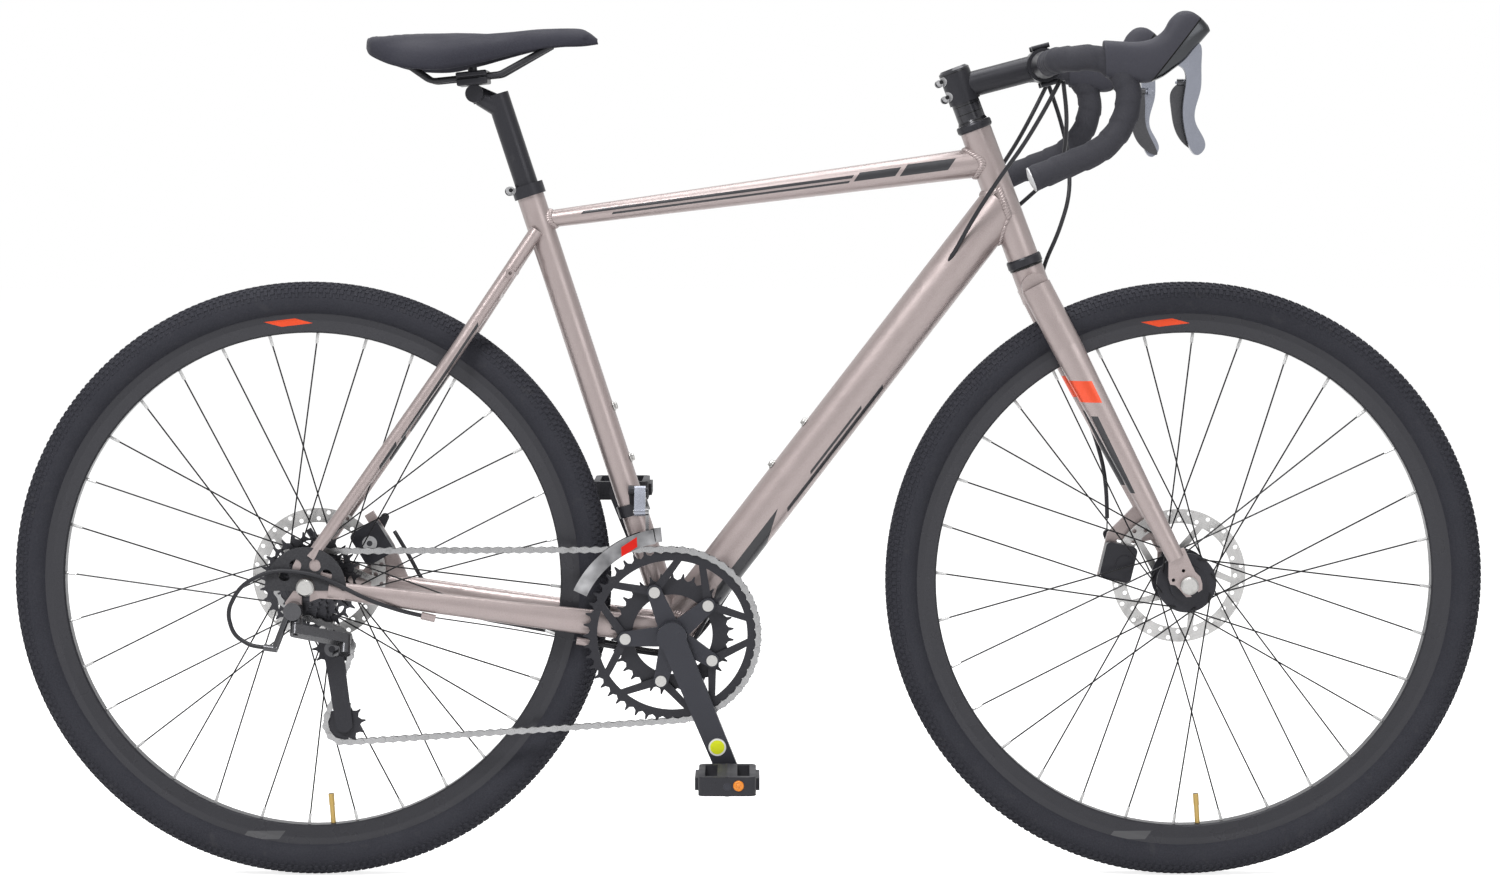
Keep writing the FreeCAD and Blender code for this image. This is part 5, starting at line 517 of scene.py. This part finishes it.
def mesh_piece(name, points, faces, material, body):
    """A new piece from points and faces in the shared frame, which rides on a body if one is given."""
    mesh = bpy.data.meshes.new(name)
    mesh.from_pydata([tuple(p) for p in points], [], faces)
    shell = bmesh.new()
    shell.from_mesh(mesh)
    bmesh.ops.recalc_face_normals(shell, faces=shell.faces)
    shell.to_mesh(mesh)
    shell.free()
    mesh.materials.append(material)
    mesh.polygons.foreach_set("use_smooth", [True] * len(mesh.polygons))
    piece = bpy.data.objects.new(name, mesh)
    bpy.context.scene.collection.objects.link(piece)
    if body:
        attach(piece, body)
    return piece


def grid_faces(rows, columns):
    """Faces over a grid of points whose columns close into a loop."""
    faces = []
    for row in range(rows - 1):
        for column in range(columns):
            after = (column + 1) % columns
            low, high = row * columns, (row + 1) * columns
            faces.append((low + column, low + after, high + after, high + column))
    return faces


def close_ends(faces, rows, sides):
    """The faces of a grid with one more over its first ring and one over its last."""
    faces.append(tuple(reversed(range(sides))))
    faces.append(tuple(range((rows - 1) * sides, rows * sides)))
    return faces


# A corner with more than this half angle, in radians, is left as it is.
NEARLY_STRAIGHT = 1.56
ARC_STEPS = 12


def rounded(points, reach_of, step):
    """A path through corners, sampled evenly. An arc cuts each corner off by a reach on both sides."""
    path = [points[0]]
    for number, (before, corner, after) in enumerate(zip(points, points[1:], points[2:])):
        back, ahead = before - corner, after - corner
        half = back.angle(ahead) / 2
        if half > NEARLY_STRAIGHT:
            path.append(corner)
            continue
        reach = reach_of(number, min(back.length, ahead.length), half)
        back.normalize()
        ahead.normalize()
        centre = corner + (back + ahead).normalized() * reach / math.cos(half)
        arm, last = corner + back * reach - centre, corner + ahead * reach - centre
        axis, turn = arm.cross(last).normalized(), arm.angle(last)
        for k in range(ARC_STEPS + 1):
            path.append(centre + Matrix.Rotation(turn * k / ARC_STEPS, 3, axis) @ arm)
    path.append(points[-1])
    return evenly(path, step)


def evenly(path, step):
    """Points along a path at an even distance."""
    lengths = [0.0]
    for here, there in zip(path, path[1:]):
        lengths.append(lengths[-1] + (there - here).length)
    count = max(2, round(lengths[-1] / step))
    points, number = [], 0
    for k in range(count + 1):
        target = lengths[-1] * k / count
        while number < len(path) - 2 and lengths[number + 1] < target:
            number += 1
        share = (target - lengths[number]) / max(lengths[number + 1] - lengths[number], 1e-9)
        points.append(path[number].lerp(path[number + 1], share))
    return points


def sweep(path, sides, radius_of):
    """Points and faces of a tube along a path. The radius is asked for by number along the path and angle."""
    points = []
    tangent = (path[1] - path[0]).normalized()
    normal = tangent.orthogonal().normalized()
    for k, spot in enumerate(path):
        ahead = (path[min(k + 1, len(path) - 1)] - path[max(k - 1, 0)]).normalized()
        normal = (normal - ahead * normal.dot(ahead)).normalized()
        other = ahead.cross(normal)
        for side in range(sides):
            angle = 2 * math.pi * side / sides
            arm = normal * math.cos(angle) + other * math.sin(angle)
            points.append(spot + arm * radius_of(k, angle))
    return points, close_ends(grid_faces(len(path), sides), len(path), sides)


def gather(parts):
    """Several sets of points and faces as one."""
    points, faces = [], []
    for more_points, more_faces in parts:
        start = len(points)
        points.extend(more_points)
        faces.extend(tuple(start + k for k in face) for face in more_faces)
    return points, faces


def lathe(profile, origin, axis, sides=24):
    """Points and faces of a profile of radius and height that is turned round an axis."""
    across = axis.orthogonal().normalized()
    other = axis.cross(across)
    points = []
    for radius, height in profile:
        for k in range(sides):
            angle = 2 * math.pi * k / sides
            arm = across * math.cos(angle) + other * math.sin(angle)
            points.append(origin + axis * height + arm * radius)
    return points, grid_faces(len(profile), sides)


# Tyres: a round casing with rows of small blocks, larger at the shoulders.
# Each row of blocks has its lean from the middle in degrees, then a block's length, width and height.

CASING = 0.0199
SECTION_RADIUS = 0.332
CASING_REACH = math.radians(146)
TYRE_STEPS = 220
CASING_STEPS = 30
KNOB_ROWS = ((0, 0.0044, 0.0042, 0.0011), (14, 0.0046, 0.0036, 0.0011), (28, 0.0044, 0.004, 0.0011),
             (42, 0.0048, 0.0044, 0.0011), (57, 0.0056, 0.0066, 0.0012), (74, 0.0044, 0.005, 0.0008))
KNOBS = 264
KNOB_SINK = -0.0004
KNOB_TOP_SHARE = 0.74


def on_tyre(turn, lean, height):
    """A point on the tyre: an angle round the wheel, an angle round the casing, and a height above it."""
    out = SECTION_RADIUS + math.cos(lean) * (CASING + height)
    return Vector((math.cos(turn) * out, math.sin(lean) * (CASING + height), math.sin(turn) * out))


def casing():
    """Points and faces of the tyre's casing, which is open towards the rim."""
    points, faces = [], []
    for row in range(TYRE_STEPS):
        for k in range(CASING_STEPS):
            lean = CASING_REACH * (2 * k / (CASING_STEPS - 1) - 1)
            points.append(on_tyre(2 * math.pi * row / TYRE_STEPS, lean, 0))
        low, high = row * CASING_STEPS, (row + 1) % TYRE_STEPS * CASING_STEPS
        faces.extend((low + k, low + k + 1, high + k + 1, high + k) for k in range(CASING_STEPS - 1))
    return points, faces


def knob(turn, lean, length, width, height):
    """Points and faces of one tread block with sloping sides."""
    points = []
    half_turn = length / 2 / SECTION_RADIUS
    half_lean = width / 2 / CASING
    for level, share in ((KNOB_SINK, 1.0), (height, KNOB_TOP_SHARE)):
        for along, over in ((-1, -1), (1, -1), (1, 1), (-1, 1)):
            points.append(on_tyre(turn + along * half_turn * share, lean + over * half_lean * share, level))
    return points, [(0, 1, 5, 4), (1, 2, 6, 5), (2, 3, 7, 6), (3, 0, 4, 7), (4, 5, 6, 7)]


def tyre(name, centre, body, node):
    """A tyre with its tread. Rows of blocks are staggered by half a block, and the two sides by a quarter."""
    parts = [casing()]
    casing_faces = len(parts[0][1])
    for row, (lean, length, width, height) in enumerate(KNOB_ROWS):
        for side in (1, -1) if lean else (1,):
            stagger = row % 2 / 2 + (0.25 if side < 0 else 0)
            for k in range(KNOBS):
                turn = 2 * math.pi * (k + stagger) / KNOBS
                parts.append(knob(turn, math.radians(lean) * side, length, width, height))
    points, faces = gather(parts)
    piece = mesh_piece(name, [p + centre for p in points], faces, TREAD, body)
    piece.data.polygons.foreach_set("use_smooth", [face.index < casing_faces for face in piece.data.polygons])
    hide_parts(node)


tyre("front_tread", FRONT, "front_wheel", "front_tyre")
tyre("rear_tread", REAR, "rear_wheel", "rear_tyre")

# Bar tape: each turn overlaps the last, so the edge of every turn stands up a little.

TAPE_STEP = 0.0025
TAPE_STEPS_IN_A_TURN = 9
TAPE_SIDES = 30
TAPE_RADIUS = 0.0138
TAPE_RISE = 0.0012


def bar_path(side):
    """The bar's middle line on one side."""
    points = [Vector((p.x, side * p.y, p.z)) for p in BAR_POINTS]
    return rounded(points, lambda number, shorter, half: BAR_BENDS[number] / math.tan(half), TAPE_STEP)


def tape(side):
    """Points and faces of the tape on one side, wound the other way round on the right."""

    def radius(k, angle):
        phase = (k / TAPE_STEPS_IN_A_TURN + side * angle / (2 * math.pi)) % 1.0
        return TAPE_RADIUS + TAPE_RISE * min(phase * 1.15, 1.0) * (1 if phase < 0.9 else (1 - phase) * 10)

    return sweep(bar_path(side), TAPE_SIDES, radius)


tape_piece = mesh_piece("wound_tape", *gather([tape(1), tape(-1)]), tape_finish(), "fork")
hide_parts("bar_tape")

# Cable housings from the bar into the frame, with their routes in millimetres.

HOUSING_RADIUS = 0.0025
HOUSING_SIDES = 14
HOUSING_STEP = 0.006
CORNER_SHARE = 0.46
ROUTES = (
    ((358, -84, 940), (340, -80, 905), (318, -66, 866), (290, -50, 826), (262, -33, 781), (236, -18, 731),
     (196, -9, 672), (140, -7, 596), (80, -8, 514), (22, -9, 436), (-22, -10, 366), (-52, -11, 304),
     (-70, -14, 272), (-94, -20, 265), (-126, -27, 270), (-158, -33, 277), (-186, -35, 282)),
    ((360, -92, 938), (366, -78, 900), (368, -40, 858), (362, 0, 836), (340, 33, 812), (304, 42, 780),
     (266, 34, 742), (232, 15, 696), (190, 7, 640), (136, 8, 566), (78, 8, 486), (24, 9, 410), (-18, 10, 346),
     (-52, 12, 292), (-78, 17, 266), (-112, 26, 263), (-160, 34, 272), (-214, 39, 281), (-268, 45, 291),
     (-322, 54, 299), (-364, 67, 312), (-392, 77.5, 338), (-410, 81.5, 372), (-428, 82.2, 402)),
    ((358, 84, 940), (342, 80, 908), (322, 68, 872), (298, 54, 836), (272, 38, 797), (246, 21, 752),
     (208, 2, 694), (152, 1, 616), (92, 1, 534), (34, 0, 456), (-10, -1, 386), (-44, -1, 318),
     (-62, -3, 284), (-84, -10, 264), (-112, -14, 268)),
)


def housing(route):
    """Points and faces of one housing, with each corner rounded off."""
    corners = [Vector(p) * MM for p in route]
    path = rounded(corners, lambda number, shorter, half: shorter * CORNER_SHARE, HOUSING_STEP)
    return sweep(path, HOUSING_SIDES, lambda k, angle: HOUSING_RADIUS)


housings = mesh_piece("cable_housings", *gather([housing(route) for route in ROUTES]), HOUSING, None)
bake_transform(housings)
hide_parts("front_cables")

# The saddle's padding: a stuffed cover that swells a little.

SWELL_FRAMES = 20
SWELL_LIMIT = 0.0014


def settle(piece):
    """Make the modifiers' result the piece's own mesh."""
    shown = piece.evaluated_get(bpy.context.evaluated_depsgraph_get())
    mesh = bpy.data.meshes.new_from_object(shown)
    piece.modifiers.clear()
    piece.data = mesh


def inflate(piece):
    """Let the cover swell under pressure like foam, with each point kept close to its start."""
    rest = [v.co.copy() for v in piece.data.vertices]
    cloth = piece.modifiers.new("swell", "CLOTH")
    cloth.settings.use_pressure = True
    cloth.settings.uniform_pressure_force = 4.0
    cloth.settings.effector_weights.gravity = 0.0
    cloth.settings.mass = 0.4
    cloth.settings.tension_stiffness = 25
    cloth.settings.compression_stiffness = 25
    cloth.settings.bending_stiffness = 6
    cloth.point_cache.frame_start, cloth.point_cache.frame_end = 1, SWELL_FRAMES
    for number in range(1, SWELL_FRAMES + 1):
        bpy.context.scene.frame_set(number)
    settle(piece)
    bpy.context.scene.frame_set(1)
    for vertex, start in zip(piece.data.vertices, rest):
        move = vertex.co - start
        if move.length > SWELL_LIMIT:
            vertex.co = start + move.normalized() * SWELL_LIMIT


def on_curve(rows, place):
    """A row of numbers at a place between the given rows, on a smooth curve through them."""
    number = min(int(place), len(rows) - 2)
    s = place - number
    four = [rows[min(max(number + k, 0), len(rows) - 1)] for k in (-1, 0, 1, 2)]
    return [0.5 * (2 * b + (c - a) * s + (2 * a - 5 * b + 4 * c - e) * s * s
                   + (3 * b - a - 3 * c + e) * s * s * s) for a, b, c, e in zip(*four)]


def fuller(value, power):
    """A sine or cosine that is pushed outwards, so that a round section becomes squarer."""
    return math.copysign(abs(value) ** power, value)


# Saddle sections from the rear: share of the length, share of half the width,
# then the heights of the top, the edge and the roof under it in millimetres.

SADDLE_SECTIONS = (
    (0.0, 0.36, 46, 31, 33), (0.035, 0.66, 48.5, 22, 33), (0.16, 0.98, 49.5, 11, 33),
    (0.33, 0.92, 50, 8.5, 34), (0.48, 0.62, 52, 16, 36), (0.62, 0.40, 55, 26, 38),
    (0.78, 0.29, 58, 34, 42), (0.93, 0.235, 57, 36, 42), (1.0, 0.12, 46, 38, 41),
)
SADDLE_ROWS = 96
SADDLE_STEPS = 40
SADDLE_BASE_DROP = 0.008
HOLLOW_DEPTH = 1.8
HOLLOW_MIDDLE = 0.45
HOLLOW_REACH = 0.2
HOLLOW_WIDTH = 0.008


def saddle_skin():
    """The padded top with a shallow hollow along its middle, closed by the hem and the roof under it."""
    low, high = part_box("saddle_cover")
    base = low.z - SADDLE_BASE_DROP
    half_box = (high.y - low.y) / 2
    points = []
    for row in range(SADDLE_ROWS):
        place = row / (SADDLE_ROWS - 1) * (len(SADDLE_SECTIONS) - 1)
        share, wide, top, edge, roof = on_curve(SADDLE_SECTIONS, place)
        half = half_box * wide
        x = low.x + (high.x - low.x) * min(max(share, 0), 1)
        hollow = HOLLOW_DEPTH * math.exp(-((share - HOLLOW_MIDDLE) / HOLLOW_REACH) ** 4)
        ring = []
        for k in range(SADDLE_STEPS + 1):
            turn = math.pi * k / SADDLE_STEPS
            y = half * fuller(math.cos(turn), 0.86)
            dip = hollow * math.exp(-(y / HOLLOW_WIDTH) ** 2)
            ring.append((y, edge + (top - edge) * abs(math.sin(turn)) ** 0.8 - dip))
        hem = ((0.93, edge - 0.4), (0.87, edge + 0.2), (0.72, roof), (0.36, roof))
        ring.extend((-y * half, z) for y, z in hem)
        ring.append((0, roof))
        ring.extend((y * half, z) for y, z in reversed(hem))
        points.extend(Vector((x, y, base + z * MM)) for y, z in ring)
    sides = len(points) // SADDLE_ROWS
    return points, close_ends(grid_faces(SADDLE_ROWS, sides), SADDLE_ROWS, sides)


saddle = mesh_piece("saddle_padding", *saddle_skin(), skin_finish(), None)
inflate(saddle)
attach(saddle, "saddle")
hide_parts("saddle_cover")

# Brake hoods: a smooth skin over sections that run from the bar to the raised knob.
# Each section is its top point and bottom point on the side of the bike, and its half width, in millimetres.

HOOD_SECTIONS = (
    (393, 977.5, 396, 940, 15.6), (395, 979.5, 398, 938, 16.6), (412, 978.5, 420, 935, 16.8),
    (430, 978, 440, 932.5, 16.6), (446, 981, 457, 938, 16.4), (459, 990, 470, 947, 16.2),
    (467, 1003, 483, 957, 15.8), (477, 1011, 493, 969, 15), (489, 1011.5, 502, 979, 12.8),
    (500, 1005, 508, 986, 9.4), (508, 997, 511, 989.5, 4),
)
HOOD_MIDDLE = 209
HOOD_ROWS = 70
HOOD_SIDES = 36
HOOD_FULLNESS = 0.82


def hood(side):
    """Points and faces of one hood."""
    points = []
    for row in range(HOOD_ROWS):
        place = row / (HOOD_ROWS - 1) * (len(HOOD_SECTIONS) - 1)
        top_x, top_z, low_x, low_z, half = on_curve(HOOD_SECTIONS, place)
        middle = Vector(((top_x + low_x) / 2, side * HOOD_MIDDLE, (top_z + low_z) / 2))
        up = Vector(((top_x - low_x) / 2, 0, (top_z - low_z) / 2))
        for k in range(HOOD_SIDES):
            angle = 2 * math.pi * k / HOOD_SIDES
            over = up * fuller(math.cos(angle), HOOD_FULLNESS)
            out = Vector((0, half * fuller(math.sin(angle), HOOD_FULLNESS), 0))
            points.append((middle + over + out) * MM)
    return points, close_ends(grid_faces(HOOD_ROWS, HOOD_SIDES), HOOD_ROWS, HOOD_SIDES)


hoods = mesh_piece("hood_covers", *gather([hood(1), hood(-1)]), hood_finish(), "fork")
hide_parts("brake_hoods")

# Weld beads where the tubes meet.

BEAD_ROWS = 6
BEAD_SIDES = 8
BEAD_LENGTH_SHARE = 1.9
BEAD_HEIGHT_SHARE = 0.9


def bead(spot, across, along, out, size):
    """One ripple of a weld: a ball that is drawn out across the seam, as points and faces."""
    points = []
    for row in range(BEAD_ROWS):
        tilt = math.pi * (row + 0.5) / BEAD_ROWS
        reach = across * (math.cos(tilt) * size * BEAD_LENGTH_SHARE)
        ring = math.sin(tilt) * size
        for k in range(BEAD_SIDES):
            angle = 2 * math.pi * k / BEAD_SIDES
            points.append(spot + reach + along * (math.cos(angle) * ring)
                          + out * (math.sin(angle) * ring * BEAD_HEIGHT_SHARE))
    return points, grid_faces(BEAD_ROWS, BEAD_SIDES)


def weld(start, direction, half_size, centre, axis, radius, count, size):
    """Beads round the curve where a tube that runs from a start meets a round tube on its way."""
    high, wide = half_size
    up = Vector((-direction.z, 0, direction.x))
    parts = []
    for k in range(count):
        angle = 2 * math.pi * k / count
        spot = start + up * math.cos(angle) * high + Vector((0, math.sin(angle) * wide, 0))
        gap = spot - centre
        flat = gap - axis * gap.dot(axis)
        step = direction - axis * direction.dot(axis)
        half = flat.dot(step)
        inside = half * half - step.length_squared * (flat.length_squared - radius * radius)
        travel = (-half - math.sqrt(max(inside, 0))) / step.length_squared
        out = (up * math.cos(angle) / high + Vector((0, math.sin(angle) / wide, 0))).normalized()
        along = direction.cross(out)
        parts.append(bead(spot + direction * travel, direction, along, out, size))
    return gather(parts)


TOP_HALF_FRONT = (0.0172, 0.0172)
TOP_HALF_REAR = (0.0102, 0.0102)
DOWN_HALF = (0.0263, 0.0228)
HEAD_TUBE = (HEAD_LOW, STEER_UP, HEAD_TUBE_RADIUS)
SEAT_TUBE = (BOTTOM, SEAT_UP, SEAT_TUBE_RADIUS)
SHELL = (BOTTOM, Vector((0, 1, 0)), SHELL_RADIUS)
welds = gather([
    weld(TOP_FRONT - TOP_LINE * 0.1, TOP_LINE, TOP_HALF_FRONT, *HEAD_TUBE, 40, 0.0028),
    weld(TOP_REAR + TOP_LINE * 0.1, -TOP_LINE, TOP_HALF_REAR, *SEAT_TUBE, 26, 0.0024),
    weld(DOWN_FRONT - DOWN_UP * 0.15, DOWN_UP, DOWN_HALF, *HEAD_TUBE, 56, 0.0028),
    weld(BOTTOM + DOWN_UP * 0.15, -DOWN_UP, DOWN_HALF, *SHELL, 52, 0.0026),
])
mesh_piece("weld_beads", *welds, champagne("weld_paint").material, "frame")

# Bottle bolts: the radius and height of a head with its socket, and how far up each tube the bolts sit.

HEAD_PROFILE = ((0.0062, 0), (0.0062, 0.0012), (0.0044, 0.0013), (0.0044, 0.0042),
                (0.0036, 0.0048), (0.0022, 0.0048), (0.0021, 0.0026), (0.0001, 0.0026))
SEAT_BOLTS = (0.210, 0.274)
SEAT_BOLT_SEAT = 0.0155
DOWN_BOLTS = (0.2275, 0.2905)
DOWN_BOLT_SEAT = 0.0262


def bolt_row(direction, out, lengths, seat):
    """Bolt heads along a tube that starts at the bottom bracket."""
    return [lathe(HEAD_PROFILE, BOTTOM + direction * length + out * seat, out) for length in lengths]


bottle_bolts = gather(bolt_row(SEAT_UP, Vector((SEAT_UP.z, 0, -SEAT_UP.x)), SEAT_BOLTS, SEAT_BOLT_SEAT)
                      + bolt_row(DOWN_UP, Vector((-DOWN_UP.z, 0, DOWN_UP.x)), DOWN_BOLTS, DOWN_BOLT_SEAT))
mesh_piece("bottle_bolts", *bottle_bolts, STEEL, "frame")

# Amber reflectors on the pedals' outer ends, as radius and height.

REFLECTOR = ((0.0001, 0.0022), (0.002, 0.0021), (0.0022, 0.0017), (0.0038, 0.0016),
             (0.004, 0.0019), (0.0055, 0.0015), (0.0062, 0.0004), (0.0062, -0.002))


def reflector(name, node, body, side):
    """A round reflector on the outer end of a pedal."""
    low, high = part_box(node)
    centre = (low + high) / 2
    centre.y = (low.y if side < 0 else high.y)
    spot = centre + Vector((0.013, side * 0.0002, 0.001))
    glass = finish(name + "_amber", AMBER_TONES, (0.12, 0.25), grain=700, depth=0.00004).material
    piece = mesh_piece(name, *lathe(REFLECTOR, spot, Vector((0, side, 0))), glass, body)


reflector("right_reflector", "right_pedal", "right_pedal", -1)
reflector("left_reflector", "left_pedal", "left_pedal", 1)

# Floor, light and camera.

FLOOR_SIZE = 40
FLOOR_GAP = 0.0005
FLOOR_GLOW = 0.78
WORLD_ON_BIKE = 0.28
WORLD_SEEN = 1.0
WHITE = (1, 1, 1, 1)


def stage_floor():
    """A pale floor that is white to the eye and keeps the bike's shadow."""
    bpy.ops.mesh.primitive_plane_add(size=FLOOR_SIZE, location=(0, 0, cad_box[0][2] - FLOOR_GAP))
    floor = bpy.context.object
    floor.name = "floor"
    shader = Shader("floor_white")
    dark, light = FLOOR_TONES
    shader.put(shader.surface.inputs["Base Color"], shader.mix(shader.noise(3, 3), (*dark, 1), (*light, 1)))
    shader.put(shader.surface.inputs["Roughness"], 0.9)
    shader.put(shader.surface.inputs["Specular IOR Level"], 0.0)
    shader.put(shader.surface.inputs["Emission Color"], WHITE)
    glow = shader.maths("MULTIPLY", shader.seen_rays(), FLOOR_GLOW)
    shader.put(shader.surface.inputs["Emission Strength"], glow)
    floor.data.materials.append(shader.material)


def world_light():
    """A white world that is brighter to the eye than the light that it gives the bike."""
    world = bpy.data.worlds.new("studio")
    bpy.context.scene.world = world
    world.use_nodes = True
    tree = world.node_tree
    path = tree.nodes.new("ShaderNodeLightPath")
    seen = path.outputs["Is Camera Ray"]
    for word in ("Is Glossy Ray", "Is Transmission Ray"):
        larger = tree.nodes.new("ShaderNodeMath")
        larger.operation = "MAXIMUM"
        tree.links.new(seen, larger.inputs[0])
        tree.links.new(path.outputs[word], larger.inputs[1])
        seen = larger.outputs[0]
    level = tree.nodes.new("ShaderNodeMapRange")
    level.inputs["To Min"].default_value = WORLD_ON_BIKE
    level.inputs["To Max"].default_value = WORLD_SEEN
    tree.links.new(seen, level.inputs["Value"])
    back = tree.nodes["Background"]
    tree.links.new(level.outputs["Result"], back.inputs["Strength"])
    back.inputs["Color"].default_value = WHITE


def lamp(name, spot, target, size, power):
    """A round lamp that shines from a spot towards a target."""
    data = bpy.data.lights.new(name, "AREA")
    data.shape = "DISK"
    data.size = size
    data.energy = power
    thing = bpy.data.objects.new(name, data)
    thing.location = spot
    thing.rotation_euler = (Vector(target) - Vector(spot)).to_track_quat("-Z", "Y").to_euler()
    bpy.context.scene.collection.objects.link(thing)


stage_floor()
world_light()
lamp("key", (-1.4, -2.6, 3.4), (0, 0, 0.5), 1.4, 110)
lamp("fill", (2.4, -3.0, 1.4), (0, 0, 0.5), 2.0, 22)
lamp("top", (0.2, 0.4, 3.6), (0, 0, 0.4), 2.4, 70)

CAMERA_PLACE = (0.002, -3.9, 0.833)
CAMERA_DIP = 4.7
CAMERA_LENS = 79.5
CAMERA_SENSOR = 36

camera = bpy.data.objects.new("camera", bpy.data.cameras.new("camera"))
camera.location = CAMERA_PLACE
camera.rotation_euler = (math.radians(90 - CAMERA_DIP), 0, 0)
camera.data.sensor_width = CAMERA_SENSOR
camera.data.lens = CAMERA_LENS
camera.data.dof.use_dof = False
bpy.context.scene.collection.objects.link(camera)
bpy.context.scene.camera = camera
bpy.context.scene.view_settings.view_transform = "Standard"
